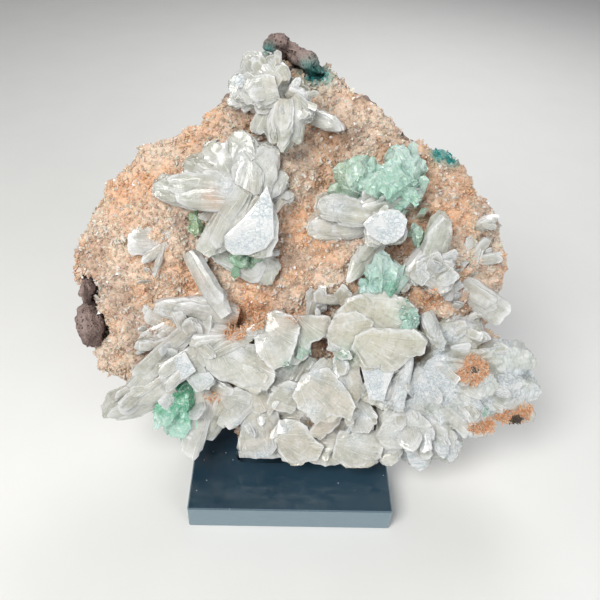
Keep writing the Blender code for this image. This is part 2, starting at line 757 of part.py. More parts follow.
def main():
    clear_scene()
    build_block()
    build_slab()
    build_druse()
    host = object_from(fattened(crust_mesh(), GAP), "host_cutter")
    others = [object_from(fattened(slab_mesh(), GAP), "slab")]
    others += [object_from(lump_mesh(*lump, GAP), "lump") for lump in ROCK_LUMPS]
    combine(host, others, "UNION")
    earlier = []
    for name, group in STILBITE.items():
        build_group(name, "stilbite", group, blade_mesh, earlier, host)
        earlier.append((group, blade_mesh))
    for name, group in APOPHYLLITE.items():
        build_group(name, "apophyllite", group, stub_mesh, earlier, host)
        earlier.append((group, stub_mesh))
    bpy.data.objects.remove(host, do_unlink=True)


main()
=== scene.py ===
# %% [markdown]
# # An apophyllite and stilbite cluster
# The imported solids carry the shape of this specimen: a slab of basalt, a druse on its front, sheaves
# of stilbite, clusters of apophyllite and the block that it leans in. This lesson gives each of them
# its real surface. The first cell loads the solids, which sit in metres with +Z up.

import json
import math
import random

import bmesh
import bpy
import numpy as np
from mathutils import Matrix, Vector, noise
from mathutils.bvhtree import BVHTree

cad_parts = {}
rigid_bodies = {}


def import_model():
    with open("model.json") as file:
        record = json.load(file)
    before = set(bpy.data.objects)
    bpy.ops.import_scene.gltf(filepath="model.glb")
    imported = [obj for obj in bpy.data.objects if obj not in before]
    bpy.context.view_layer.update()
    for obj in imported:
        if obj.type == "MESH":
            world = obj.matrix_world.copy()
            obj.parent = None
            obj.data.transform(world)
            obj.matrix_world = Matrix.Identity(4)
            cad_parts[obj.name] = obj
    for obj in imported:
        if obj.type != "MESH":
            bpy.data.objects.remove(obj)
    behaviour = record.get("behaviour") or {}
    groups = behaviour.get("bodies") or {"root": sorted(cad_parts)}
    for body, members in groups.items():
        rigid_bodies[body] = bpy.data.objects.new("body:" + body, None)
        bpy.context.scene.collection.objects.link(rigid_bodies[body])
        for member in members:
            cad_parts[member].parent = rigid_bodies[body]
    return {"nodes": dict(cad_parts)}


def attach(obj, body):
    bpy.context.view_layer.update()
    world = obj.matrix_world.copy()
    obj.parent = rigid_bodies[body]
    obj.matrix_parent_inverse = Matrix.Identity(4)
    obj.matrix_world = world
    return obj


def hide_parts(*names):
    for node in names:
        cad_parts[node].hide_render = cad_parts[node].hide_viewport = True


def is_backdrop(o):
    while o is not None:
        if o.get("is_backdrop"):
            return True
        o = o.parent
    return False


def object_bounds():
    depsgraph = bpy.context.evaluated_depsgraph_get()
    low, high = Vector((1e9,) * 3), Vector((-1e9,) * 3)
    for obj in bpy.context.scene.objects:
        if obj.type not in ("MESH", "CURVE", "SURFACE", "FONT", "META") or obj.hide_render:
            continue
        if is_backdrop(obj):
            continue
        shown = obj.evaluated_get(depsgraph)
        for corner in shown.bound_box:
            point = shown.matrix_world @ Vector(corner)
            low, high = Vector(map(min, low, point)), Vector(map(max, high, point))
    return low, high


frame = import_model()
cad_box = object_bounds()
print("solids:", len(frame["nodes"]), "nodes")

# %% [markdown]
# The slab leans back by 20 degrees, so places on it are easier to give as (u, v, w): u to the right,
# v up the leaning face from the slot, and w straight out of it, in millimetres. Most of them were
# read on a plane 6 mm in front of the face as it looks from the eye, so a crystal that stands
# higher or lower slides along its line of sight.

# %% Places on the leaning face
MM = 0.001
LEAN = math.radians(20)
SLOT_Y = -14 * MM
BLOCK_TOP = 12 * MM
EYE = (-7, 156, 232)
READ_W = 6


def on_face(u, v, w):
    sin, cos = math.sin(LEAN), math.cos(LEAN)
    return Vector((u * MM, SLOT_Y + (v * sin - w * cos) * MM, BLOCK_TOP + (v * cos + w * sin) * MM))


def placed(u, v, w):
    share = (EYE[2] - w) / (EYE[2] - READ_W)
    return on_face(EYE[0] + (u - EYE[0]) * share, EYE[1] + (v - EYE[1]) * share, w)


def readings(points):
    """The (u, v) at which each of these points, in metres, is seen on the reading plane."""
    sin, cos = math.sin(LEAN), math.cos(LEAN)
    x, y, z = (np.asarray(points)[:, k] / MM for k in range(3))
    y, z = y - SLOT_Y / MM, z - BLOCK_TOP / MM
    u, v, w = x, y * sin + z * cos, z * sin - y * cos
    share = (EYE[2] - READ_W) / (EYE[2] - w)
    return EYE[0] + (u - EYE[0]) * share, EYE[1] + (v - EYE[1]) * share


OUT = (on_face(0, 0, 1) - on_face(0, 0, 0)).normalized()
UP_FACE = (on_face(0, 1, 0) - on_face(0, 0, 0)).normalized()
print("face leans so that it looks along", tuple(round(c, 2) for c in OUT))

# %% [markdown]
# The finishes are made of nodes. A small class wraps a socket, so that shader maths reads like sums,
# and one method adds any other node with its settings and its inputs.


# %% Shader helpers
class Signal:
    """A number or colour on its way through the nodes."""

    def __init__(self, finish, socket):
        self.finish, self.socket = finish, socket

    def maths(self, operation, *values):
        return self.finish.node("Math", {"operation": operation}, dict(enumerate(values)))

    def __add__(self, other):
        return self.maths("ADD", self, other)

    def __radd__(self, other):
        return self.maths("ADD", other, self)

    def __sub__(self, other):
        return self.maths("SUBTRACT", self, other)

    def __rsub__(self, other):
        return self.maths("SUBTRACT", other, self)

    def __mul__(self, other):
        return self.maths("MULTIPLY", self, other)

    def __rmul__(self, other):
        return self.maths("MULTIPLY", other, self)

    def __pow__(self, other):
        return self.maths("POWER", self, other)

    def above(self, low, high):
        """0 below low, 1 above high, and smooth in between."""
        return self.finish.node("MapRange", {"interpolation_type": "SMOOTHSTEP"}, {0: self, 1: low, 2: high})


class Finish:
    """A material that is built one node at a time."""

    def __init__(self, name, **constants):
        self.material = bpy.data.materials.new(name)
        self.material.use_nodes = True
        self.tree = self.material.node_tree
        self.shader = self.tree.nodes["Principled BSDF"]
        for socket, value in constants.items():
            self.shader.inputs[socket.replace("_", " ")].default_value = value

    def node(self, kind, settings=None, inputs=None, out=0):
        made = self.tree.nodes.new("ShaderNode" + kind)
        for key, value in (settings or {}).items():
            if key == "stops":
                ramp = made.color_ramp.elements
                while len(ramp) < len(value):
                    ramp.new(0.5)
                for stop, (place, colour) in zip(ramp, value):
                    stop.position, stop.color = place, (*colour, 1)
            else:
                setattr(made, key, value)
        for key, value in (inputs or {}).items():
            self.link(made.inputs[key], value)
        return Signal(self, made.outputs[out])

    def link(self, socket, value):
        if isinstance(value, Signal):
            self.tree.links.new(value.socket, socket)
        elif hasattr(value, "__len__") and len(value) == 3 and socket.type == "RGBA":
            socket.default_value = (*value, 1)
        else:
            socket.default_value = value

    def place(self):
        return self.node("TexCoord", out="Object")

    def attribute(self, name, out="Fac"):
        return self.node("Attribute", {"attribute_name": name}, out=out)

    def stretched(self, vector, scale):
        return self.node("Mapping", inputs={"Vector": vector, "Scale": scale})

    def noise(self, vector, scale, detail=2.0, rough=0.5, out=0):
        return self.node("TexNoise", inputs={"Vector": vector, "Scale": scale, "Detail": detail, "Roughness": rough}, out=out)

    def cells(self, vector, scale, feature="F1", out=0):
        return self.node("TexVoronoi", {"feature": feature}, {"Vector": vector, "Scale": scale}, out)

    def mix(self, share, a, b):
        return self.node("Mix", {"data_type": "RGBA"}, {0: share, 6: a, 7: b}, out=2)

    def bump(self, height, strength, distance):
        return self.node("Bump", inputs={"Height": height, "Strength": strength, "Distance": distance})

    def wear(self, **sockets):
        for name, value in sockets.items():
            self.link(self.shader.inputs[name.replace("_", " ")], value)
        return self.material


print("shader helpers ready")

# %% [markdown]
# Light comes first, because every finish is judged in it. The photograph looks down on the specimen
# at about 40 degrees from a short distance, with a soft lamp from the upper left. A pale floor and a
# pale surround stand in for its black cloth.

# %% Camera, lamps and floor
VIEW_PITCH, VIEW_YAW, VIEW_ROLL = math.radians(40.4), math.radians(-2.5), math.radians(3.2)
EYE_AT = Vector((-6.9, -179, 238)) * MM

look = Matrix.Rotation(VIEW_YAW, 3, "Z") @ Matrix.Rotation(math.pi / 2 - VIEW_PITCH, 3, "X")
look = look @ Matrix.Rotation(VIEW_ROLL, 3, "Z")
lens = bpy.data.cameras.new("camera")
lens.lens, lens.sensor_width, lens.clip_start = 39, 36, 0.01
camera = bpy.data.objects.new("camera", lens)
camera.matrix_world = Matrix.Translation(EYE_AT) @ look.to_4x4()
bpy.context.scene.collection.objects.link(camera)
bpy.context.scene.camera = camera


def softbox(name, at, size, watts, colour):
    lamp = bpy.data.lights.new(name, "AREA")
    lamp.shape, lamp.size, lamp.energy, lamp.color = "DISK", size, watts, colour
    obj = bpy.data.objects.new(name, lamp)
    obj.location = at
    obj.rotation_euler = (Vector((0, 0, 0.08)) - Vector(at)).to_track_quat("-Z", "Y").to_euler()
    bpy.context.scene.collection.objects.link(obj)


softbox("key", (-0.26, -0.34, 0.56), 0.36, 4.2, (1.0, 0.985, 0.955))
softbox("fill", (0.42, -0.55, 0.35), 0.5, 1.9, (0.93, 0.97, 1.0))
softbox("rim", (0.15, 0.5, 0.5), 0.4, 1.9, (1.0, 1.0, 1.0))
bpy.context.scene.view_settings.view_transform = "Standard"

world = bpy.data.worlds.new("surround")
world.use_nodes = True
world.node_tree.nodes["Background"].inputs["Color"].default_value = (0.86, 0.88, 0.9, 1)
world.node_tree.nodes["Background"].inputs["Strength"].default_value = 0.25
bpy.context.scene.world = world

floor_shape = bmesh.new()
bmesh.ops.create_circle(floor_shape, cap_ends=True, segments=64, radius=4)
floor_mesh = bpy.data.meshes.new("floor")
floor_shape.to_mesh(floor_mesh)
floor = bpy.data.objects.new("floor", floor_mesh)
bpy.context.scene.collection.objects.link(floor)
paper = Finish("pale_paper", Roughness=0.75)
floor_mesh.materials.append(paper.wear(Base_Color=paper.mix(
    paper.noise(paper.place(), 30, 3), (0.74, 0.74, 0.725), (0.78, 0.78, 0.765))))
floor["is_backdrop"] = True
print("camera at", tuple(round(c, 3) for c in camera.location))

# %% [markdown]
# Stains and tints follow places on the specimen: orange at the feet of some sheaves and on the right
# lobe, deep green where the apophyllite is rooted, teal celadonite beside the bare basalt. The dark
# brown spots are partly stain and partly painted shade in the gaps between crystals. Each is a spot
# with a radius and a strength, and a helper takes the strongest of them at each point.

# %% Spots of colour
ORANGE = [
    (-38, 78, 7, 0.8), (-16, 69, 9, 1.0), (-18, 64, 6, 0.9), (-24, 57, 4, 0.9), (0, 64, 4, 0.8), (50, 73, 4.5, 1.0), (44, 76, 5, 0.5),
    (70, 44.5, 6, 1.0), (78, 19.5, 4, 0.9), (84, 22, 4, 1.0), (90, 25.5, 4, 1.0), (94, 27, 3, 0.8),
    (-30, 30, 5, 0.8), (-41, 139, 1, 0), (-33, 134, 6, 0.6), (-38, 129, 6, 0.7), (-57, 112, 8, 0.7), (-60, 101, 7, 0.5),
    (3, 96, 6, 0.8), (8, 91, 6, 0.7), (1, 104, 4, 0.6), (-32, 107, 4, 0.6), (52, 103, 6, 0.6), (60, 101, 5, 0.5),
    (48, 118, 6, 0.5), (60, 114, 4, 0.5), (-4, 150, 5, 0.5), (42, 90, 4, 0.4), (-40, 71, 6, 0.6),
    (10, 132, 5, 0.5), (60, 70, 5, 0.4), (-52, 84, 8, 0.5), (4, 84, 5, 0.4), (-70, 62, 5, 0.35), (14, 18, 3, 0.3),
]
TEAL = [(2.5, 151.5, 4, 1.0), (6, 150.5, 3, 0.9), (-12.5, 158, 2.2, 0.9), (-0.5, 154, 2, 0.6), (47, 127, 3, 1.2), (52, 126, 3.2, 1.2)]
BROWN_AND_SHADED_GAPS = [
    (10, 131, 7, 0.8), (16, 131, 5, 0.7), (10, 68, 5, 1.0), (11, 54, 5, 1.2), (33, 91, 4.5, 1.0), (-33, 85.5, 4, 0.8),
    (-20, 136, 6, 0.5), (-23, 133, 5, 0.4), (-17, 86, 6, 0.3), (30, 129, 6, 0.3), (-10, 98, 4, 0.4), (-41, 52, 2, 1.0),
    (-21, 35, 2, 1.0), (66, 68, 5, 0.6), (46, 60, 1, 0), (3, 119, 7, 0.35), (-56, 51, 6, 0.4),
]


def spotted(spots, u, v):
    """How much of these spots there is at each (u, v)."""
    total = np.zeros(len(u))
    for su, sv, radius, strength in spots:
        total = np.maximum(total, strength * np.exp(-((u - su) ** 2 + (v - sv) ** 2) / (radius * radius)))
    return np.clip(total, 0, 1)


def noted(obj, name, values):
    """Stores one number for each vertex, where a finish can read it."""
    layer = obj.data.attributes.new(name, "FLOAT", "POINT")
    layer.data.foreach_set("value", np.asarray(values, np.float32))


def points_of(obj):
    found = np.empty(len(obj.data.vertices) * 3, np.float32)
    obj.data.vertices.foreach_get("co", found)
    return found.reshape(-1, 3)


def object_of(bm, name, material, smooth=False):
    """Turns a bmesh into a piece of the specimen."""
    mesh = bpy.data.meshes.new(name)
    bmesh.ops.recalc_face_normals(bm, faces=bm.faces)
    bm.to_mesh(mesh)
    bm.free()
    corners = np.zeros(len(mesh.vertices) * 3, np.float32)
    mesh.vertices.foreach_get("co", corners)
    mesh.vertices.foreach_set("co", np.clip(corners.reshape(-1, 3), *cad_box).ravel())
    for face in mesh.polygons:
        face.use_smooth = smooth
    obj = bpy.data.objects.new(name, mesh)
    bpy.context.scene.collection.objects.link(obj)
    mesh.materials.append(material)
    print(name, len(mesh.polygons), "faces")
    return obj


def settled(obj, slot, *nodes):
    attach(obj, "root")
    if nodes:
        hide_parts(*nodes)


# %% [markdown]
# The rock under everything is vesicular basalt: mauve-brown, rough and full of small pits. Only a
# peak at the top and two lumps at the left edge are bare in front, but the whole back shows. A copy
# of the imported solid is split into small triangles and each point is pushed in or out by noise.

# %% The basalt slab
def copied(node):
    bm = bmesh.new()
    bm.from_mesh(frame["nodes"][node].data)
    bmesh.ops.remove_doubles(bm, verts=bm.verts, dist=1e-5)
    return bm


def refined(bm, longest, rounds):
    """Splits every edge that is longer than this, again and again."""
    for _ in range(rounds):
        long_edges = [e for e in bm.edges if e.calc_length() > longest]
        if not long_edges:
            break
        bmesh.ops.subdivide_edges(bm, edges=long_edges, cuts=1)
        bmesh.ops.triangulate(bm, faces=[f for f in bm.faces if len(f.verts) > 3])


def roughened(bm, amount):
    bm.normal_update()
    moves = [(v, v.normal.copy(), amount(v.co, v.normal)) for v in bm.verts]
    for vert, normal, shift in moves:
        vert.co += normal * shift


def chipped(place, scale):
    """Flat chips that meet at edges, as where a hammer broke the rock."""
    nearest = noise.voronoi(place * scale)[1][0]
    return (place * scale - nearest).dot(noise.noise_vector(nearest * 3.7) * 2)


def rock_shift(place, normal):
    coarse = noise.fractal(place * 190, 0.6, 2.1, 4) * 1.3
    chips = chipped(place, 52) * 1.7 + chipped(place, 150) * 0.8
    pits = noise.voronoi(place * 420)[0][0]
    return (coarse + chips - 0.5 - 1.6 * max(0, 0.42 - pits)) * MM


rock = copied("basalt_slab")
refined(rock, 1.35 * MM, 8)
roughened(rock, rock_shift)

basalt = Finish("basalt", Roughness=0.88)
where = basalt.place()
blotches = basalt.noise(where, 90, 4, 0.6)
grit = basalt.noise(where, 900, 3, 0.7)
vesicles = basalt.cells(where, 700)
holes = 1 - vesicles.above(0.08, 0.32)
stone = basalt.mix(blotches.above(0.35, 0.65), (0.20, 0.135, 0.12), (0.36, 0.265, 0.24))
stone = basalt.mix(grit.above(0.5, 0.75) * 0.6, stone, (0.46, 0.37, 0.34))
stone = basalt.mix(holes * 0.7, stone, (0.07, 0.045, 0.04))
stone = basalt.mix(basalt.attribute("teal"), stone, (0.06, 0.30, 0.28))
basalt.wear(
    Base_Color=stone,
    Roughness=0.95 - grit * 0.2,
    Normal=basalt.bump(grit * 1.2 - holes, 1.0, 0.0011),
)
rock_piece = object_of(rock, "basalt_rock", basalt.material, smooth=True)
u, v = readings(points_of(rock_piece))
noted(rock_piece, "teal", spotted(TEAL, u, v))
settled(rock_piece, "basalt", "basalt_slab")

# %% [markdown]
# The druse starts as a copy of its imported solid, refined and softened, a millimetre lower so that the
# crystals on it stand in the space that the solid holds.

# %% The ground of the druse
DRUSE_SINK = 0.7


def druse_shift(place, normal):
    swell = noise.noise(place * 95) * 2.4 + noise.noise(place * 230) * 2.1
    crumbs = noise.noise(place * 480, noise_basis="VORONOI_F1") + 0.5 * noise.noise(place * 900)
    return (swell + crumbs * 0.7 - DRUSE_SINK) * MM


ground = copied("peach_druse")
refined(ground, 1.5 * MM, 7)
for _ in range(2):
    bmesh.ops.smooth_vert(ground, verts=ground.verts, factor=0.5, use_axis_x=True, use_axis_y=True, use_axis_z=True)
roughened(ground, druse_shift)


def smooth(values, low, high):
    share = np.clip((np.asarray(values) - low) / (high - low), 0, 1)
    return share * share * (3 - 2 * share)


def blend(tint, colour, share):
    share = np.clip(share, 0, 1)[:, None]
    return tint * (1 - share) + np.array(colour) * share


CREAM_CRUST, PEACH, RUST = (0.88, 0.70, 0.56), (0.89, 0.56, 0.37), (0.95, 0.46, 0.20)
GREY_BROWN, DARK, TEAL_TINT = (0.58, 0.44, 0.35), (0.20, 0.10, 0.05), (0.04, 0.32, 0.31)


def drift(points, scale, shift):
    """Slow noise over the specimen, one value a point."""
    offset = Vector((shift, shift * 1.7, -shift))
    return np.array([noise.noise(Vector(p) * scale + offset) for p in points])


def druse_tints(points):
    """Broad drifts of cream, peach and grey-brown, with the stains on top and dark spots that are partly painted shade
    in gaps.
    """
    tint = np.tile(np.array(CREAM_CRUST), (len(points), 1))
    tint = blend(tint, PEACH, smooth(drift(points, 75, 3) + 0.5 * drift(points, 210, 9), -0.15, 0.45) * 0.85)
    tint = blend(tint, GREY_BROWN, smooth(drift(points, 62, 20) + 0.5 * drift(points, 230, 31), 0.0, 0.5) * 0.75)
    u, v = readings(points)
    tint = blend(tint, RUST, spotted(ORANGE, u, v) * 0.62)
    # dark brown spots: partly stain, partly painted shade in the gaps between crystals
    tint = blend(tint, DARK, spotted(BROWN_AND_SHADED_GAPS, u, v) * 0.9)
    return blend(tint, TEAL_TINT, spotted(TEAL, u, v) * 1.3)


LIGHTNESS = 0.85  # leaves room above the tints for the glints


def dyed(obj, tint):
    """Stores one colour for each vertex, where a finish can read it."""
    layer = obj.data.color_attributes.new("tint", "FLOAT_COLOR", "POINT")
    rgba = np.concatenate([np.clip(tint * LIGHTNESS, 0, 1), np.ones((len(tint), 1))], axis=1)
    layer.data.foreach_set("color", rgba.astype(np.float32).ravel())


crust = Finish("druse_ground", Roughness=0.5, Subsurface_Weight=0.2, Subsurface_Scale=0.002)
where = crust.place()
crumb = crust.noise(where, 700, 3, 0.7)
speck = crust.cells(where, 900)
own = crust.attribute("tint", "Color")
tone = crust.mix(crumb.above(0.36, 0.5) * 0.85, crust.mix(0.35, own, (0.45, 0.26, 0.14)), own)
tone = crust.mix(crumb.above(0.60, 0.72) * 0.35, tone, (0.97, 0.90, 0.82))
crust.wear(Base_Color=tone, Roughness=0.3 + crumb * 0.4, Normal=crust.bump(crumb + speck * 0.7, 0.8, 0.0008))
druse_ground = object_of(ground, "druse_ground", crust.material, smooth=True)
dyed(druse_ground, druse_tints(points_of(druse_ground)))
settled(druse_ground, "druse", "peach_druse")

# %% [markdown]
# Thousands of small crystals cover that ground. A few seeds, each a dozen faces, are modelled with
# operators, and arrays then place copies of them: every copy is turned and scaled by its own matrix
# and keeps its own tint, with painted shade that makes it a little darker at its foot.


# %% Seeds and sowing
def seed(sides, taper, point, squash):
    """A small prism with a tapering body and a low point."""
    bm = bmesh.new()
    bmesh.ops.create_cone(bm, cap_ends=True, segments=sides, radius1=0.5, radius2=0.5 * taper, depth=1 - point)
    bmesh.ops.translate(bm, verts=bm.verts, vec=(0, 0, (1 - point) / 2))
    top = max(bm.faces, key=lambda f: f.calc_center_median().z)
    tip = bmesh.ops.poke(bm, faces=[top])["verts"][0]
    tip.co.z += point
    floor_faces = [f for f in bm.faces if f.normal.z < -0.9]
    bmesh.ops.delete(bm, geom=floor_faces, context="FACES_ONLY")
    bmesh.ops.scale(bm, verts=bm.verts, vec=(1, squash, 1))
    bmesh.ops.triangulate(bm, faces=bm.faces)
    shape = np.array([v.co for v in bm.verts]), np.array([[v.index for v in f.verts] for f in bm.faces])
    bm.free()
    return shape


def frames_for(outs, rng, tilt):
    """For each direction, a matrix that stands a seed along it, leaning and turned by chance."""
    outs = outs + rng.normal(0, tilt, outs.shape)
    outs /= np.linalg.norm(outs, axis=1, keepdims=True)
    side = np.cross(outs, rng.normal(0, 1, outs.shape))
    side /= np.linalg.norm(side, axis=1, keepdims=True)
    return np.stack([side, np.cross(outs, side), outs], axis=2)


def sown(name, shapes, spots, turns, sizes, tints, material):
    """One mesh of many seeds. turns are matrices, and sizes are (width, depth, height)."""
    pick = np.arange(len(spots)) % len(shapes)
    verts, faces, colours, grains, start = [], [], [], [], 0
    for k, (shape, cells) in enumerate(shapes):
        mine = pick == k
        local = shape[None] * sizes[mine][:, None]
        world_points = np.einsum("nij,nkj->nki", turns[mine], local) + spots[mine][:, None]
        count = len(world_points)
        verts.append(world_points.reshape(-1, 3))
        shifts = start + np.arange(count) * len(shape)
        faces.append((cells[None] + shifts[:, None, None]).reshape(-1, 3))
        # painted shade and light: each copy is darker at its foot and a little lighter at its tip
        shade = 0.94 + 0.08 * np.clip(shape[:, 2], 0, 1)
        colours.append(np.clip(tints[mine][:, None] * shade[None, :, None] * LIGHTNESS, 0, 1).reshape(-1, 3))
        grains.append((local / MM + (shifts[:, None, None] % 97)).reshape(-1, 3))
        start += count * len(shape)
    mesh = bpy.data.meshes.new(name)
    mesh.from_pydata(np.concatenate(verts).tolist(), [], np.concatenate(faces).tolist())
    tint = mesh.color_attributes.new("tint", "FLOAT_COLOR", "POINT")
    rgba = np.concatenate([np.concatenate(colours), np.ones((start, 1))], axis=1)
    tint.data.foreach_set("color", rgba.astype(np.float32).ravel())
    grain = mesh.attributes.new("grain", "FLOAT_VECTOR", "POINT")
    grain.data.foreach_set("vector", np.concatenate(grains).astype(np.float32).ravel())
    mesh.materials.append(material)
    obj = bpy.data.objects.new(name, mesh)
    bpy.context.scene.collection.objects.link(obj)
    print(name, len(spots), "crystals,", len(mesh.polygons), "triangles")
    return obj


SEEDS = [seed(4, 0.8, 0.3, 0.7), seed(4, 0.6, 0.35, 0.85), seed(5, 0.7, 0.25, 0.6)]


# %% [markdown]
# The small crystals of the druse are 1 to 4 mm long. Each takes the colour of the ground it stands
# on, made lighter or darker by chance, and one in four is nearly clear. Their number follows the
# area of each triangle of the ground.

# %% The druse
def surface_spots(obj, spacing, keep, rng):
    """Random places on a mesh, about this far apart, with the normal at each."""
    points = points_of(obj)
    corners = np.array([tuple(p.vertices) for p in obj.data.polygons])
    a, b, c = (points[corners[:, k]].astype(float) for k in range(3))
    normal = np.cross(b - a, c - a)
    area = np.linalg.norm(normal, axis=1) / 2
    normal /= np.maximum(2 * area, 1e-15)[:, None]
    weight = area * keep((a + b + c) / 3, normal)
    count = int(weight.sum() / (spacing * MM) ** 2)
    chosen = rng.choice(len(area), count, p=weight / weight.sum())
    r1, r2 = np.sqrt(rng.random(count)), rng.random(count)
    spots = a[chosen] * (1 - r1)[:, None] + b[chosen] * (r1 * (1 - r2))[:, None] + c[chosen] * (r1 * r2)[:, None]
    return spots, normal[chosen]


def in_front(centres, normals):
    """Leaves out the seam against the basalt, which nothing shows."""
    return np.where(normals @ np.array(OUT) > -0.35, 1.0, 0.0)


def inside_box(points):
    return np.all((points > np.array(cad_box[0]) + 2e-4) & (points < np.array(cad_box[1]) - 2e-4), axis=1)


druse_glass = Finish("druse_crystals", Subsurface_Weight=0.2, Subsurface_Scale=0.002,
                     Transmission_Weight=0.15, IOR=1.5, Coat_Weight=0.2, Coat_Roughness=0.08)
frost = druse_glass.noise(druse_glass.place(), 1500, 2, 0.6)
druse_glass.wear(
    Base_Color=druse_glass.attribute("tint", "Color"),
    Roughness=0.08 + frost * 0.35,
    Normal=druse_glass.bump(frost, 0.2, 0.0002),
)
chance = np.random.default_rng(7)
GRAINS = [
    # spacing, shortest, longest, how slim, share that is clear
    (1.6, 1.3, 2.3, 0.95, 0.15), (2.1, 2.0, 3.3, 0.8, 0.3), (3.8, 2.6, 4.4, 0.5, 0.5),
]
for layer, (spacing, low, high, slim, clear_share) in enumerate(GRAINS):
    spots, normals = surface_spots(druse_ground, spacing, in_front, chance)
    size = chance.uniform(low, high, len(spots)) * MM * (0.55 + 0.45 * smooth(normals @ np.array(OUT), 0.1, 0.7))
    sizes = np.stack([size * slim, size * slim, size], axis=1)
    turns = frames_for(normals, chance, 0.34)
    room = inside_box(spots + turns[:, :, 2] * size[:, None])
    spots = spots - normals * size[:, None] * 0.56
    spots, turns, sizes = spots[room], turns[room], sizes[room]
    tints = druse_tints(spots)
    clear = chance.random(len(spots)) < clear_share
    tints = blend(tints, (1.0, 0.95, 0.89), clear * chance.uniform(0.4, 0.9, len(spots)))
    tints = tints * chance.uniform(0.86, 1.08, (len(spots), 1))
    piece = sown(f"druse_crystals_{layer + 1}", SEEDS, spots, turns, sizes, np.clip(tints, 0, 1), druse_glass.material)
    settled(piece, "druse")

# %% [markdown]
# Stilbite grows as bundles of thin plates. Each crystal in the tables below is laid out as a few
# plates that fan a little, and each plate is a grid whose columns are its fibres: they end at
# different lengths, stand at different heights and so show as the fine lines along every blade.

# %% One plate of stilbite
FIBRE = 0.75
SHAPES = {
    # share of the width at the foot, where it is reached, drop of the corners, how much of the end is flat
    "point": (0.72, 0.35, 0.34, 0.08),
    "blunt": (0.8, 0.25, 0.08, 0.6),
    "round": (0.64, 0.5, 0.25, 0.35),
    "fan": (0.28, 0.75, 0.17, 0.3),
}


def crystal_axes(base, tip, turn):
    along = (tip - base).normalized()
    out = (OUT - along * OUT.dot(along)).normalized()
    out.rotate(Matrix.Rotation(math.radians(turn), 3, along))
    return along, out.cross(along), out


def add_plate(bm, base, axes, length, width, thickness, shape, rng, tone, pearl):
    """One thin plate, with lengths in millimetres. It is split into a few lobes side by side."""
    along, across, out = axes
    foot, full, drop, flat = SHAPES[shape]
    columns, rows = max(6, min(22, round(width / FIBRE))), max(4, min(12, round(length / 2.4)))
    front = bmesh.ops.create_grid(bm, x_segments=columns, y_segments=rows, size=1)["verts"]
    faces = list({face for vert in front for face in vert.link_faces})
    moved = bmesh.ops.extrude_face_region(bm, geom=faces)["geom"]
    back = [g for g in moved if isinstance(g, bmesh.types.BMVert)]
    splits = sorted([-1.0, 1.0] + [rng.uniform(-0.8, 0.8) for _ in range(max(1, round(width / 6)))])
    lobes = [(rng.random() ** 2 * 0.07, rng.uniform(-0.09, 0.09), rng.uniform(0.6, 1.5)) for _ in splits]
    jitter = [rng.uniform(0, 0.01) for _ in range(columns + 1)]
    bow, lean, skew = rng.uniform(-0.04, 0.04) * length, rng.uniform(-0.4, 0.4), rng.uniform(-0.06, 0.06)
    shift = rng.uniform(0, 60)
    layers = bm.verts.layers.float
    grain, shade, rim, root, gleam = (bm.verts.layers.float_vector["grain"], layers["tone"], layers["rim"],
                                      layers["root"], layers["pearl"])
    for side, verts in ((1, front), (-1, back)):
        for vert in verts:
            s, t = vert.co.x, (vert.co.y + 1) / 2
            lobe = max(k for k in range(len(splits) - 1) if s >= splits[k] - 1e-6)
            low, high = splits[lobe], splits[lobe + 1]
            q = 2 * (s - low) / max(1e-3, high - low) - 1
            short, raised, step = lobes[lobe]
            grow = min(t / full, 1)
            half = width / 2 * (foot + (1 - foot) * grow * (2 - grow)) * (1 + 0.035 * math.sin(t * 17 + shift))
            corner = max(0, (abs(s) - flat) / (1 - flat)) ** 1.25
            reach = 1 - drop * corner - short - 0.015 * q * q - jitter[round((s + 1) / 2 * columns)] + skew * s
            x, y = s * half, t * length * reach
            thin = 1 - 0.4 * s ** 4 - 0.5 * max(0, t - 0.85) / 0.15
            pillow = (0.05 * (1 - q * q) + raised) * (1 if t < step else 0.3)
            z = side * thickness / 2 * thin + pillow + bow * t * t + lean * s * t
            vert[grain] = (x + shift, y, shift)
            vert[shade] = tone + raised
            # rim marks the plate's edges and tip, where the finish paints a highlight
            vert[rim] = max(abs(s) ** 7, max(0, t - 0.86) / 0.14) ** 1.5
            vert[root] = 1 - t
            vert[gleam] = pearl
            vert.co = base + (along * y + across * x + out * z) * MM


def grow_crystal(bm, base, tip, width, thickness, turn, shape, rng, layers=None, pearl=0.0):
    """A solid body with a few growth layers on it, each a little shorter and turned. base and tip in metres."""
    layers = layers or max(2, round(thickness / 1.7))
    length = (tip - base).length / MM
    tone = rng.uniform(0.2, 0.8)
    for k in range(layers):
        axes = crystal_axes(base, tip, turn)
        swing = rng.uniform(-1, 1) * min(6, 40 * width / (length + 8)) * (1 if k else 0.3)
        spin = Matrix.Rotation(math.radians(swing), 3, axes[2])
        turned = [spin @ axis for axis in axes]
        share = 1 - 0.16 * k * rng.uniform(0.3, 1.2)
        start = base + axes[2] * (k * 0.55) * MM + axes[1] * rng.uniform(-0.12, 0.12) * width * min(k, 1) * MM
        add_plate(
            bm, start, turned, length * share * rng.uniform(0.96, 1.0), width * (0.95 - 0.1 * k) * rng.uniform(0.9, 1.05),
            thickness * 0.8, shape, rng, tone + rng.uniform(-0.3, 0.3), pearl,
        )


def add_crystal(bm, base, tip, *rest, **more):
    """The same, with the foot and the tip as they were read."""
    grow_crystal(bm, placed(*base), placed(*tip), *rest, **more)


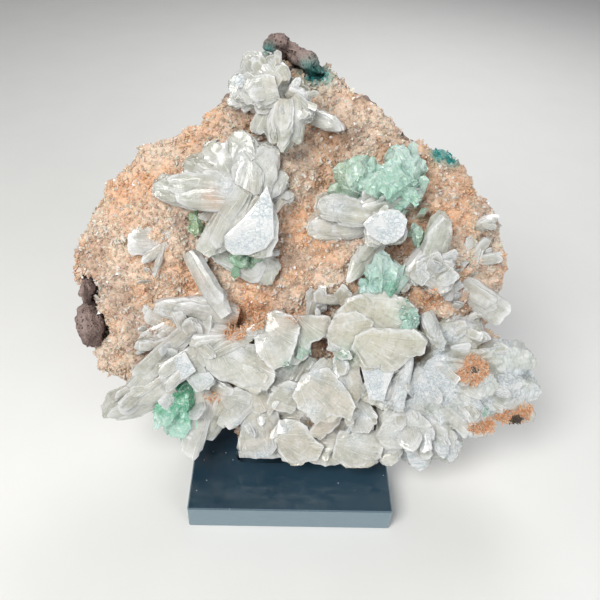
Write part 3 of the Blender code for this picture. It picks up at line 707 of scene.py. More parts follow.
def add_between(bm, crystals, rng):
    """Petals that fill the gaps of a sheaf, between blades that share a foot."""
    for one, other in zip(crystals, crystals[1:]):
        if math.dist(one[0][:2], other[0][:2]) > 6:
            continue
        arms = [np.subtract(c[1][:2], c[0][:2]) for c in (one, other)]
        reach = [np.linalg.norm(arm) for arm in arms]
        opening = math.degrees(math.acos(np.clip(arms[0] @ arms[1] / (reach[0] * reach[1]), -1, 1)))
        if not 18 < opening < 85:
            continue
        middle = arms[0] / reach[0] + arms[1] / reach[1]
        middle = middle / np.linalg.norm(middle) * min(reach) * 0.88
        base = np.add(one[0], other[0]) / 2
        base[2] += rng.uniform(-1.5, 1.0)
        tip = (base[0] + middle[0], base[1] + middle[1], (one[1][2] + other[1][2]) / 2 + rng.uniform(-0.5, 1.5))
        width = (one[2] + other[2]) / 2 * 0.72
        add_crystal(bm, tuple(base), tip, width, 3.5, rng.uniform(-20, 20), "round", rng, 2)


def add_litter(bm, base, tip, width, rng, count):
    """Slender laths that lie about a crystal's foot."""
    for _ in range(count):
        t = rng.uniform(0.0, 0.35)
        start = [base[k] + (tip[k] - base[k]) * t + rng.uniform(-0.4, 0.4) * width for k in range(2)]
        angle = math.atan2(tip[1] - base[1], tip[0] - base[0]) + rng.uniform(-0.7, 0.7)
        reach = rng.uniform(0.3, 0.6) * math.dist(base[:2], tip[:2])
        end = (start[0] + math.cos(angle) * reach, start[1] + math.sin(angle) * reach, tip[2] * 0.6 + rng.uniform(-1, 2))
        add_crystal(bm, (*start, base[2]), end, rng.uniform(1.8, 3.6), rng.uniform(1.2, 2.4), rng.uniform(-40, 40), "blunt", rng, 2)


def edge_distance(u, v, outline):
    """How far each place is from an outline, in millimetres."""
    best = np.full(len(u), np.inf)
    for (u0, v0), (u1, v1) in zip(outline, outline[1:] + outline[:1]):
        du, dv = u1 - u0, v1 - v0
        t = np.clip(((u - u0) * du + (v - v0) * dv) / (du * du + dv * dv), 0, 1)
        best = np.minimum(best, np.hypot(u - u0 - t * du, v - v0 - t * dv))
    return best


def add_panel(bm, outline, height, lean, thickness, rng, pearl=1.0):
    """A plate with a clear outline: points as read, and how it leans to the right and up."""
    centre = np.mean(outline, axis=0)
    spread = 1 + 0.13 * (1 - pearl)
    outline = [tuple(centre + (np.array(corner) - centre) * spread) for corner in outline]
    corners = []
    for u, v in outline:
        w = height + lean[0] * (u - centre[0]) + lean[1] * (v - centre[1])
        corners.append(bm.verts.new(placed(u, v, w)))
    face = bm.faces.new(corners)
    moved = bmesh.ops.extrude_face_region(bm, geom=[face])["geom"]
    under = [g for g in moved if isinstance(g, bmesh.types.BMVert)]
    bmesh.ops.translate(bm, verts=under, vec=-OUT * thickness * MM)
    own = set(corners) | set(under)
    sides = [f for f in bm.faces if all(v in own for v in f.verts)]
    made = bmesh.ops.triangulate(bm, faces=sides)["faces"]
    for _ in range(3):
        edges = list({e for f in made for e in f.edges if e.calc_length() > 1.6 * MM})
        split = bmesh.ops.subdivide_edges(bm, edges=edges, cuts=1)
        near = {f for g in split["geom_inner"] for f in getattr(g, "link_faces", [])} | {f for f in made if f.is_valid}
        made = bmesh.ops.triangulate(bm, faces=[f for f in near if f.is_valid])["faces"]
    layers = bm.verts.layers.float
    shift, tone = rng.uniform(0, 60), rng.uniform(0.3, 0.85)
    root = centre + (np.array(outline[0]) - centre) * 1.3
    terraces = sorted(rng.uniform(1.2, 7) for _ in range(3))
    verts = list({v for f in made for v in f.verts})
    us, vs = readings([vert.co for vert in verts])
    for vert, pu, pv, near in zip(verts, us, vs, edge_distance(us, vs, outline)):
        wave = noise.noise(vert.co * 130) * (0.6 - 0.45 * pearl) + noise.noise(vert.co * 800) * 0.1
        uneven = near + 1.5 * noise.noise(vert.co * 170)
        wave += (1 - pearl) * sum(0.22 * min(1, max(0, (uneven - step) / 0.5)) for step in terraces)
        turn, far = math.atan2(pv - root[1], pu - root[0]), math.hypot(pu - root[0], pv - root[1])
        vert[bm.verts.layers.float_vector["grain"]] = (turn * 13 + shift, far, shift)
        vert[layers["tone"]] = tone + noise.noise(vert.co * 90) * 0.5
        # rim marks the outline, where the finish paints a highlight
        vert[layers["rim"]] = max(0, 1 - near / 0.55)
        vert[layers["pearl"]] = pearl * min(1, 0.45 + near * 0.7)
        frayed = noise.noise_vector(vert.co * 420) * max(0, 1 - near / 1.5) * (1 - pearl)
        vert.co += OUT * (wave - 0.35 * max(0, 1 - near / 2.0) ** 2) * MM + frayed * 0.8 * MM


print("plates are ready")

# %% [markdown]
# Stilbite's body is milky and lets light through, its thin edges look grey and glassy, and the broad
# faces are pearly. Fine lines run along each blade, so the finish reads the plate's own grain. On top
# of that, the finish paints a highlight along the edges, small near-white flecks as glints, and a
# whiter pearly sheen on the broad faces.

# %% The stilbite finish
stilbite = Finish("stilbite", Subsurface_Weight=0.15, Subsurface_Scale=0.002, Subsurface_Radius=(1, 0.97, 0.9),
                  Transmission_Weight=0.32, IOR=1.5, Coat_Weight=0.6, Coat_Roughness=0.05)
grain = stilbite.attribute("grain", "Vector")
pearl, rim = stilbite.attribute("pearl"), stilbite.attribute("rim")
lines = stilbite.noise(stilbite.stretched(grain, (1.7, 0.06, 1)), 1.0, 4, 0.65)
streaks = stilbite.noise(stilbite.stretched(grain, (0.45, 0.05, 1)), 1.0, 2, 0.5)
clouds = stilbite.noise(stilbite.place(), 170, 5, 0.65)
glint_flecks = stilbite.noise(stilbite.place(), 850, 3, 0.65)
zones = stilbite.noise(stilbite.stretched(grain, (0.12, 0.5, 1)), 1.0, 3, 0.6)
bent = stilbite.mix(0.5, grain, stilbite.noise(grain, 0.7, 3, 0.6, out="Color"))
crazing = stilbite.cells(bent, 1.3, "DISTANCE_TO_EDGE", "Distance")
shards = stilbite.noise(stilbite.stretched(grain, (1.9, 0.8, 1)), 1.0, 5, 0.75)
crackle = 1 - crazing.above(0.03, 0.10)
GLASS, DEEP = (0.85, 0.86, 0.835), (0.38, 0.38, 0.30)
body = stilbite.attribute("tint", "Color")
body = stilbite.mix((1 - clouds.above(0.36, 0.5)) * 0.55, body, DEEP)
body = stilbite.mix(clouds.above(0.52, 0.66) * 0.7, body, GLASS)
body = stilbite.mix(streaks.above(0.5, 0.66) * 0.4, body, GLASS)
body = stilbite.mix((1 - zones.above(0.36, 0.48)) * 0.25, body, DEEP)
body = stilbite.mix((1 - lines.above(0.34, 0.46)) * 0.3, body, DEEP)
body = stilbite.mix(lines.above(0.54, 0.64) * 0.4, body, GLASS)
# pearly faces: partly their own milky white, partly a painted sheen that is pure white in patches
pearly_sheen = stilbite.mix(shards.above(0.38, 0.54), (0.60, 0.68, 0.74), (0.96, 0.99, 1.0))
pearly_sheen = stilbite.mix(crackle * 0.5, pearly_sheen, (0.45, 0.54, 0.60))
pearly_sheen = stilbite.mix(clouds.above(0.5, 0.62) * 0.8, pearly_sheen, (1.0, 1.0, 1.0))
body = stilbite.mix(pearl * 0.92, body, pearly_sheen)
# painted highlight: the edges are painted near-white in patches along the rim
body = stilbite.mix(rim * clouds.above(0.3, 0.55) * 0.8, body, (0.98, 0.98, 0.98))
# painted glints: small flecks painted near-white
body = stilbite.mix(glint_flecks.above(0.61, 0.68) * 0.55, body, (1.0, 1.0, 1.0))
stilbite.wear(
    Base_Color=body,
    Roughness=0.08 + lines * 0.3,
    Normal=stilbite.bump(lines * 0.8 + clouds + streaks * 0.8 + glint_flecks * 0.4 - crackle * pearl * 0.6, 0.5, 0.0008),
)

SAGE, MILK, PAINTED_EDGE_HIGHLIGHT = (0.62, 0.62, 0.50), (0.85, 0.84, 0.77), (0.97, 0.97, 0.97)
CREAM = [(30, 60, 18, 0.9), (13, 29, 14, 0.55), (-18, 46, 10, 0.35), (-14, 100, 7, 0.3), (24, 105, 6, 0.5), (8, 8, 20, 0.35),
         (-52, 27, 8, 0.3), (50, 95, 8, 0.35)]
BLUSH = [(-50, 91, 9, 0.6), (-6, 62, 6, 0.6), (14, 18, 4, 0.8), (13, 29, 10, 0.35), (-52, 60, 9, 0.6), (-31, 107, 4.5, 1.2), (-33, 104, 4, 0.9),
         (41, 90, 5, 0.7), (-33, 80, 5, 0.3), (60, 74, 5, 0.4), (-8, 10, 14, 0.2), (12, 69, 7, 0.6), (-31, 82, 5, 0.4)]
AQUA = [(42, 67, 5, 0.8), (20, 49.5, 4.5, 0.8), (42, 113, 7, 0.5), (34, 110, 7, 0.4), (5, 52, 6, 0.5), (-3, 44.5, 3, 0.8),
        (82, 45, 12, 0.22), (45, 96, 5, 0.4), (-28, 83, 5, 0.8), (-36, 37, 4, 0.7), (77, 25.5, 2, 1.0), (25, 82, 6, 0.2)]
BEIGE = [(7, 98, 10, 1.0), (10, 14, 16, 0.8), (8, 32, 12, 0.8), (30, 8, 12, 0.6), (-6, 14, 14, 0.6), (-10, 26, 8, 0.8), (23, 28, 6, 0.8),
         (41, 16, 8, 0.5), (-8, 44, 7, 0.8), (22, 42, 5, 0.8), (-5, 56, 9, 0.5), (5, 60, 7, 0.6), (-30, 26, 8, 0.5)]
LILAC = [(-52, 92, 10, 0.8), (-51, 80, 5, 0.6), (-40, 66, 12, 0.7), (-31, 76, 9, 0.7), (68, 73, 10, 0.6), (-51, 59, 9, 0.8)]
STAIN = [(-30.5, 110, 4.2, 0.6), (70, 44.5, 6.5, 1.0), (78, 19.5, 4, 0.9), (84, 21, 4, 1.0), (90, 24.5, 4, 1.0), (94, 27, 3, 0.8), (-38, 78, 4, 0.5),
         (-17, 66, 5.5, 1.0), (-21, 61, 4.5, 1.0), (-24, 57, 4, 0.9), (50, 73, 4, 0.8), (-31, 30, 4, 0.6), (0, 64, 3, 0.6)]

SHADY = [(-40, 112, 13, 0.9), (-24, 122, 11, 0.5), (-18, 108, 9, 0.5), (-40, 66, 12, 0.4), (-30, 78, 7, 0.4)]
# places whose faces get the whiter pearly colour, which is partly a painted sheen
PEARLY = [(-24, 148, 6, 0.5), (-26, 112.5, 3.8, 1.3), (13, 107, 4, 0.7), (-20, 122, 5, 0.4), (54, 36, 10, 1.0), (47, 30, 6, 0.8), (8, 42, 3.2, 0.9), (19, 38, 2.6, 0.9), (-22, 19, 3, 0.9), (-22, 49, 3, 0.8),
          (-3, 17, 3.2, 0.8), (7, 25, 4.5, 0.7), (26, 12, 5, 0.5), (43, 16, 6, 0.5), (-1, 35, 3, 0.6), (-12, 3, 4, 0.6),
          (28, 23, 2.5, 0.7), (80, 40, 9, 0.5), (62, 8, 9, 0.5), (24, 99, 3, 0.5), (-38, 36, 4, 0.6), (-12, 56, 5, 0.3)]


def values_of(obj, name):
    found = np.zeros(len(obj.data.vertices), np.float32)
    if name in obj.data.attributes:
        obj.data.attributes[name].data.foreach_get("value", found)
    return found


def stilbite_tints(points, tone, rim, root):
    """Grey-green where it is clear and milky where it is cloudy, with a painted highlight along its edges and painted
    shade at the shady spots.
    """
    u, v = readings(points)
    cloud = tone + 0.35 * drift(points, 140, 5)
    tint = blend(np.tile(np.array(SAGE), (len(points), 1)), MILK, smooth(cloud, 0.05, 0.85))
    tint = blend(tint, (0.88, 0.83, 0.66), spotted(CREAM, u, v) * 0.85)
    tint = blend(tint, (0.88, 0.68, 0.54), spotted(BLUSH, u, v) * 0.8)
    tint = blend(tint, (0.84, 0.73, 0.58), spotted(BEIGE, u, v) * 0.65)
    tint = blend(tint, (0.82, 0.74, 0.71), spotted(LILAC, u, v) * 0.7)
    tint = blend(tint, (0.48, 0.78, 0.63), spotted(AQUA, u, v) * 0.8)
    tint = blend(tint, (0.80, 0.66, 0.48), np.asarray(root) ** 2 * 0.4)
    # painted highlight: the tint goes near-white along the edges and tips
    tint = blend(tint, PAINTED_EDGE_HIGHLIGHT, rim * 0.7)
    tint = blend(tint, (0.42, 0.43, 0.37), spotted(SHADY, u, v) * 0.5)
    return blend(tint, (0.92, 0.36, 0.12), spotted(STAIN, u, v) ** 1.5 * 0.95)


# %% [markdown]
# Each table lists one group of crystals that grew together: the place of the foot, the place of the
# tip, the width, the thickness, the turn about its length in degrees and the form of its end.

# %% The stilbite groups
STILBITE = {
    "top_rosette": ("stilbite_top_rosette", [
        ((-12, 147, 8), (-25.5, 146, 5), 12, 6, 10, "round"),
        ((-11, 147, 8), (-20, 156, 3), 11, 6, -15, "round"),
        ((-10, 145, 7), (-26, 140.5, 3), 7, 5, 20, "round"),
        ((-8, 147, 9), (-12, 156, 5), 8, 5, 15, "round"),
        ((-9, 146, 12), (-19, 143, 12), 11, 4, -10, "round"),
        ((-9, 143, 8), (-17, 131, 5), 8, 4, 25, "round"),
        ((-7, 143, 10), (-11, 127.5, 10), 6.5, 4.5, -20, "point"),
        ((-6, 143, 11), (-6.5, 124.5, 12), 7, 5, 15, "point"),
        ((-4, 143, 10), (-2, 127.5, 10), 6.5, 5, -15, "round"),
        ((-4, 144, 9), (3, 135.5, 9), 6.5, 5, 10, "round"),
        ((-6, 146, 9), (2, 142, 7), 6, 4, 30, "round"),
    ]),
    "top_single": ("stilbite_top_single", [((2, 138.5, 3), (15.5, 133.5, 8), 6, 4.5, 12, "point")]),
    "left_sheaf": ("stilbite_left_sheaf", [
        ((-20, 110, 10), (-52.5, 112, 9), 13, 6, 8, "round"),
        ((-20, 110, 9), (-41, 121.5, 6), 13, 5, -8, "round"),
        ((-20, 110, 9), (-33, 128, 5), 12, 5, 10, "round"),
        ((-19, 110, 11), (-21.5, 133, 6), 14, 5, -8, "round"),
        ((-18, 110, 11), (-10.5, 129, 6), 13, 5, 10, "round"),
        ((-17, 110, 10), (-4.5, 118, 6), 10, 5, -15, "round"),
        ((-20, 113, 12), (-34.5, 88, 10), 9.5, 6, 14, "blunt"),
        ((-15, 110, 6), (-2, 110, 6), 6, 4.5, -20, "round"),
        ((-12, 109, 12), (-19.5, 88, 16), 19, 4, 6, "fan"),
        ((-29, 92, 5), (-7, 81, 5), 13, 5, -6, "blunt"),
    ]),
    "left_tablet": ("stilbite_left_tablet", [
        ((-46, 92.5, 3), (-62, 91.5, 6), 10, 4, 10, "blunt"),
        ((-48.5, 92, 5), (-52.7, 78, 8), 2.6, 2.4, 20, "point"),
    ]),
    "crossed_blades": ("stilbite_crossed_blades", [
        ((-22, 65, 5), (-54.5, 69, 8), 11, 6, -8, "round"),
        ((-39, 89, 4), (-26, 63.5, 13), 7, 5.5, 25, "blunt"),
    ]),
    "lower_left": ("stilbite_lower_left", [
        ((-42, 62, 2), (-59, 52, 4), 8, 5, 0, "blunt"),
        ((-38, 60, 7), (-65, 31, 8), 7, 6, 20, "blunt"),
        ((-46, 36, 6), (-76, 21.5, 9), 13.5, 7, -12, "point"),
        ((-50, 38, 8), (-70, 27, 10), 6, 5, 25, "round"),
        ((-36, 48, 10), (-52, 38, 15), 11, 4, 5, "blunt"),
        ((-41, 45, 10), (-33.5, 33.5, 14), 9, 4, -12, "blunt"),
        ((-33, 34, 5), (-42.5, 2.5, 12), 9.5, 7, 10, "blunt"),
        ((-26, 34, 5), (-35, 10, 9), 8, 6, -12, "blunt"),
        ((-33, 38, 6), (-24, 31, 10), 6, 4, 10, "blunt"),
    ]),
    "lower_mass": ("stilbite_lower_mass", [
        ((-18, 57, 6), (-42, 60.5, 7), 5, 5, 10, "blunt"),
        ((-22, 52, 9), (-40, 50, 9), 14, 6, -6, "blunt"),
        ((-38, 50, 10), (-10.5, 37, 13), 14, 6, 8, "blunt"),
        ((-30, 50, 13), (-12, 61.5, 14), 5, 4, 15, "blunt"),
        ((-10, 67, 9), (-6, 43, 17), 15.5, 5, -8, "point"),
        ((-5, 60, 7), (14, 60, 9), 9, 5, 14, "round"),
        ((4.5, 63, 4), (5.5, 75, 5), 3.2, 3, 10, "blunt"),
        ((3, 73.5, 5), (17, 72, 6), 4, 3.5, -10, "blunt"),
        ((-12, 38, 6), (-30, 18, 8), 9, 6, 12, "blunt"),
        ((-13, 28, 6), (-15.5, 3.5, 9), 13, 6, -10, "blunt"),
        ((4, 30, 11), (-9, 36, 12), 7, 4, -10, "round"),
        ((-1, 22, 8), (3, -0.5, 12), 17, 7, 8, "round"),
        ((12, 42, 9), (13, 19, 17), 21, 6, -6, "round"),
        ((12, 47, 8), (4.5, 38, 13), 5, 4, 16, "point"),
        ((15, 48, 6), (20.5, 32, 13), 5.5, 4.5, -12, "point"),
        ((14, 52, 4), (25, 36, 8), 8, 4, 12, "blunt"),
        ((20, 24, 6), (11, 3, 11), 10, 5, 18, "blunt"),
        ((22, 34, 7), (31, 15, 11), 10, 5, -14, "round"),
        ((26, 20, 7), (27.5, -1.5, 13), 17, 6, 6, "blunt"),
        ((40, 16, 5), (40, -0.5, 10), 11, 6, 10, "round"),
        ((40, 28, 9), (42, 8, 14), 14, 6, -8, "blunt"),
    ]),
    "right_sheaf": ("stilbite_right_sheaf", [
        ((26, 104, 10), (5, 108.5, 12), 10.5, 6, 12, "fan"),
        ((25, 103, 6), (2, 99, 6), 13, 6, -10, "round"),
        ((20, 105, 9), (43, 114, 8), 10, 6, 10, "round"),
        ((29, 108, 9), (32, 93.5, 14), 15, 4.5, -6, "blunt"),
    ]),
    "mid_blade": ("stilbite_mid_blade", [((29, 97, 3), (17, 78.5, 9), 8.5, 5, 12, "point")]),
    "column": ("stilbite_column", [
        ((47, 82, 8), (51.5, 106, 13), 9.5, 7, 10, "round"),
        ((50, 96, 6), (41, 80, 12), 9, 6, -14, "blunt"),
        ((53, 92, 6), (52, 75, 12), 7, 5, 12, "blunt"),
        ((44, 90, 4), (37, 76, 8), 7, 5, 14, "blunt"),
        ((56, 86, 3), (56.5, 72, 6), 5, 4, -16, "blunt"),
    ]),
    "yellow_rosette": ("stilbite_yellow_rosette", [
        ((33, 60, 12), (12.5, 62, 10), 13, 5, 12, "fan"),
        ((33, 62, 12), (20, 74, 9), 13, 5, -10, "fan"),
        ((33, 60, 12), (15, 51.5, 10), 13, 5, -12, "fan"),
        ((33, 59, 13), (25.5, 44.5, 13), 12, 5, 12, "fan"),
        ((34, 59, 14), (38, 43.5, 14), 13, 5, -10, "fan"),
        ((34, 60, 14), (48.5, 53, 11), 13, 5, 12, "fan"),
        ((34, 62, 12), (34, 75, 9), 13, 5, 8, "fan"),
        ((34, 62, 12), (45.5, 68, 9), 12, 5, -10, "fan"),
    ]),
    "right_lobe": ("stilbite_right_lobe", [
        ((48, 68, 8), (57, 51.5, 14), 6.5, 5, -18, "point"),
        ((50, 62, 5), (72, 59.5, 5), 15, 7, 6, "round"),
        ((60, 50, 6), (93.5, 49.5, 3), 15, 8, -8, "round"),
        ((60, 44, 7), (97, 36, 3), 17, 8, 8, "round"),
        ((58, 36, 7), (96, 26, 3), 15, 8, -6, "round"),
        ((50, 50, 9), (80, 37, 10), 19, 7, 8, "round"),
        ((43, 43, 9), (79, 19, 8), 21, 8, -8, "round"),
        ((44, 34, 9), (67, 4.5, 7), 19, 8, 8, "round"),
        ((45, 28, 8), (54, -0.7, 8), 15, 7, -10, "round"),
        ((38, 47, 8), (31, 28, 14), 13, 4.5, 8, "blunt"),
        ((43, 50, 11), (41, 25.5, 17), 6, 4.5, -10, "blunt"),
    ]),
    "right_prism": ("stilbite_right_prism", [((60, 80, 0), (79.5, 66.5, 6), 11, 6, 8, "blunt")]),
    "edge_blade": ("stilbite_edge_blade", [((62, 101.5, 0), (71.5, 105.5, 5), 5, 4, 12, "point")]),
}
PANELS = {
    # group: (outline as read, height, lean to the right and up)
    "left_sheaf": [([(-27, 95), (-26.5, 90.5), (-24, 88.3), (-18, 88.3), (-12, 91), (-9.2, 95), (-9.8, 107), (-12, 114),
                     (-16, 107), (-20, 102)], 18.0, (0.06, -0.12))],
    "lower_left": [
        ([(-52.5, 40.5), (-51.5, 36), (-48.5, 35), (-42, 37.8), (-38, 41), (-42, 49), (-50, 44.5)], 15.5, (0.14, -0.16)),
        ([(-40, 40), (-33, 40.5), (-31, 38), (-33, 32.7), (-36, 33.5), (-40, 35)], 15, (0.1, -0.1)),
    ],
    "lower_mass": [
        ([(-28, 52), (-20, 53), (-14.5, 49), (-9.5, 44.5), (-9, 38), (-11.5, 34), (-20, 36), (-28, 38), (-33, 42),
          (-34, 48)], 15.0, (0.08, -0.06), 0.1),
        ([(-14, 62), (-8, 66), (-2, 64), (1, 60), (-1, 50), (-3, 45.5), (-8, 43.5), (-14.5, 50), (-14.5, 56)],
         16.0, (0.0, -0.3), 0.15),
        ([(-1, 64), (8, 64.5), (12, 64), (13, 60), (11, 57), (6, 54), (5, 49), (1, 46), (-3, 45.5), (-2, 54)],
         12.2, (0.0, -0.12), 0.1),
        ([(4, 38.5), (9, 42), (14, 42.5), (18, 37), (21, 33), (24, 27), (22, 21), (19, 22.5), (15, 23.5), (10, 20),
          (3, 26), (1, 31)], 16.8, (0.0, -0.3), 0.15),
        ([(-9, 31), (-6, 35.5), (-2, 37), (3, 35.5), (3, 29), (-1, 24), (-7, 25), (-10, 28)], 14.0, (-0.04, 0.0), 0.15),
        ([(-6.5, 13), (-5, 17.5), (-2, 19.5), (2, 19), (5.5, 16.5), (8, 12), (12, 8), (10, 3), (2, 0.5), (-3, 3),
          (-5, 7)], 14.2, (0.0, -0.16), 0.1),
        ([(8, 15.5), (11, 21), (15, 23.5), (19.5, 22), (18.5, 18.5), (15, 15), (12, 12), (9, 13)], 15.0, (0.0, 0.0), 0.0),
        ([(18.5, 10), (20, 15), (28, 15.2), (34.5, 15), (37, 10), (36, 4), (30, 0.5), (25, -1), (18, 3)],
         13.8, (0.0, -0.24), 0.2),
        ([(35, 14), (38, 21), (41, 23.5), (45, 25.5), (50, 24), (55, 19), (53, 12), (48, 10), (44, 8.3), (38, 9.8)],
         15.4, (0.0, -0.22), 0.2),
        ([(-19, 20), (-16, 25), (-13.5, 24), (-12, 18), (-11, 10), (-12, 3), (-20, 4), (-21, 10)], 11.4, (0.0, -0.12), 0.1),
        ([(-15, 33), (-11, 33), (-9, 27), (-13, 23), (-17, 25), (-18, 29)], 11.0, (0.1, 0.0), 0.0),
        ([(-12, 22), (-6, 23), (-5, 14), (-5, 4), (-12, 3), (-13, 12)], 11.4, (0.0, -0.1), 0.1),
        ([(-21, 4.5), (-14, 6), (-7, 5), (-3, 3), (-8, 1.8), (-16, 2), (-20.5, 2)], 12.8, (0.0, -0.1), 0.5),
        ([(16, 48), (24, 49), (25, 42), (27, 34), (25, 29), (22, 31), (19, 36), (15, 43)], 12.0, (0.1, -0.15), 0.0),
        ([(24, 29), (28, 31), (31, 27), (34, 22), (31, 15.5), (24, 16), (23, 22)], 12.4, (0.05, -0.2), 0.2),
        ([(-28, 30), (-22, 34), (-17, 31), (-18, 24), (-24, 20), (-28, 22)], 10.8, (0.1, 0.0), 0.3),
        ([(1, 4), (10, 5), (18, 6), (20, 0), (14, -1), (8, 1)], 13.0, (0.0, -0.15), 0.1),
    ],
    "yellow_rosette": [
        ([(20, 72), (25, 74), (33, 75), (40, 72), (44, 69), (42, 63), (38, 60.5), (33, 60), (27, 62), (20, 60),
          (16, 64.5)], 13.8, (0.0, -0.16), 0.0),
        ([(13.5, 60), (15, 65), (22, 67), (28, 63), (27, 56), (22, 52), (18, 52.5), (13.5, 54), (12.5, 57)],
         14.8, (0.1, 0.0), 0.0),
        ([(24, 57), (30, 60), (37, 59.5), (44, 60), (49, 56), (48, 51.5), (43, 48), (39, 44), (33, 45), (28, 45.5),
          (25.5, 49), (23, 52)], 17.2, (0.0, 0.02), 0.0),
    ],
    "right_sheaf": [([(22.5, 101), (25, 104), (30, 107), (35, 106.5), (38.5, 103), (37.5, 97.5), (35, 95), (31, 93.7),
                      (26, 96.5)], 17, (0.08, -0.16))],
    "right_lobe": [
        ([(26, 44), (32, 46), (39, 43), (37, 35.5), (36, 29.5), (30, 30.5)], 17, (0.12, -0.22)),
    ],
}


def stilbite_mesh():
    bm = bmesh.new()
    bm.verts.layers.float_vector.new("grain")
    for layer in ("tone", "rim", "root", "pearl"):
        bm.verts.layers.float.new(layer)
    return bm


def stilbite_piece(bm, name, *nodes):
    piece = object_of(bm, name, stilbite.material, smooth=True)
    piece.data.set_sharp_from_angle(angle=math.radians(28))
    dyed(piece, stilbite_tints(points_of(piece), *(values_of(piece, key) for key in ("tone", "rim", "root"))))
    seen_at = readings(points_of(piece))
    clean = 1 - spotted(STAIN, *seen_at)
    for key, extra in (("pearl", spotted(PEARLY, *seen_at)), ("rim", 0)):
        values = np.clip(values_of(piece, key) + extra, 0, 1) * clean
        piece.data.attributes[key].data.foreach_set("value", values.astype(np.float32))
    settled(piece, "stilbite", *nodes)


def grown_mass(node, name, centre, sink, crinkle, pearl):
    """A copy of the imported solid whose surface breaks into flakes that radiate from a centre."""
    bm = copied(node)
    refined(bm, 1.25 * MM, 6)
    bm.normal_update()
    for layer in ("tone", "rim", "root", "pearl"):
        bm.verts.layers.float.new(layer)
    grain = bm.verts.layers.float_vector.new("grain")
    u, v = readings([vert.co for vert in bm.verts])
    moves = []
    for vert, pu, pv in zip(bm.verts, u, v):
        far, turn = math.hypot(pu - centre[0], pv - centre[1]), math.atan2(pv - centre[1], pu - centre[0])
        ray = noise.noise(Vector((math.cos(turn) * 5, math.sin(turn) * 5, far * 0.11)))
        fine = noise.noise(Vector((math.cos(turn) * 14, math.sin(turn) * 14, far * 0.22)))
        flake = math.floor((ray + fine * 0.5) * 4) / 4
        moves.append(crinkle * (0.9 * flake + 0.3 * fine + 0.25 * noise.noise(vert.co * 700)) - sink)
        vert[grain] = (turn * 12 + noise.noise(vert.co * 200), far, 0)
        vert[bm.verts.layers.float["tone"]] = 0.5 + 0.6 * ray
        vert[bm.verts.layers.float["pearl"]] = pearl * min(1, max(0, 0.5 + 1.6 * noise.noise(vert.co * 120)))
    for vert, shift in zip(bm.verts, moves):
        vert.co += vert.normal * shift * MM
    stilbite_piece(bm, name)


MASSES = {
    # group: centre of growth, how far under the blades, how crinkled, how pearly
    "top_rosette": ((-8, 146), 0.7, 0.5, 0.2), "left_sheaf": ((-20, 110), 0.8, 0.4, 0.1),
    "lower_left": ((-38, 52), 0.7, 0.5, 0.2), "lower_mass": ((8, 56), 0.5, 0.8, 0.3),
    "right_sheaf": ((24, 104), 0.7, 0.4, 0.2), "column": ((50, 84), 0.5, 0.5, 0.1),
    "yellow_rosette": ((33, 61), 0.5, 0.5, 0.0), "right_lobe": ((46, 46), 0.2, 1.15, 0.9),
}
BURIED = {
    "right_lobe": range(1, 9), "yellow_rosette": range(8), "lower_mass": (2, 4, 5, 9, 10, 11, 12, 15, 16, 18, 20),
}
for name, settings in MASSES.items():
    grown_mass(STILBITE[name][0], name + "_mass", *settings)

for number, (name, (node, crystals)) in enumerate(STILBITE.items()):
    rng = random.Random(100 + number)
    bm = stilbite_mesh()
    crystals = [crystal for k, crystal in enumerate(crystals) if k not in BURIED.get(name, ())]
    for crystal in crystals:
        add_crystal(bm, *crystal, rng, pearl=0.5 if name == "right_lobe" else 0.12)
        add_litter(bm, crystal[0], crystal[1], crystal[2], rng, 1 if crystal[2] > 6 and name != "lower_mass" else 0)
    add_between(bm, crystals, rng)
    for outline, height, lean, *pearl in PANELS.get(name, ()):
        add_panel(bm, outline, height - 0.5, lean, 1.3, rng, *pearl)
    stilbite_piece(bm, name + "_stilbite", node)

# %% [markdown]
# Apophyllite grows as square prisms with flat or low pointed ends, packed side by side. Each cluster
# here is many prisms of 2 to 6 mm that share a direction, sown with the same arrays as the druse.

# %% The apophyllite finish
apophyllite = Finish("apophyllite", Subsurface_Weight=0.15, Subsurface_Scale=0.002, Transmission_Weight=0.3,
                     IOR=1.535, Coat_Weight=0.5, Coat_Roughness=0.04)
grain = apophyllite.attribute("grain", "Vector")
lines = apophyllite.noise(apophyllite.stretched(grain, (1.6, 1.6, 0.2)), 1.0, 3, 0.6)
frost = apophyllite.noise(apophyllite.place(), 420, 5, 0.68)
body = apophyllite.attribute("tint", "Color")
body = apophyllite.mix(frost.above(0.52, 0.68) * 0.6, body, (0.88, 0.98, 0.95))
body = apophyllite.mix(1 - frost.above(0.28, 0.46), body, apophyllite.mix(0.45, body, (0.08, 0.34, 0.20)))
body = apophyllite.mix(lines.above(0.55, 0.66) * 0.5, body, (0.86, 0.98, 0.95))
apophyllite.wear(
    Base_Color=body,
    Roughness=0.06 + frost * 0.28,
    Normal=apophyllite.bump(lines + frost, 0.5, 0.0006),
)
FROST_AQUA, MINT, GREEN, MOSS = (0.76, 0.95, 0.88), (0.58, 0.85, 0.71), (0.16, 0.52, 0.31), (0.60, 0.72, 0.50)
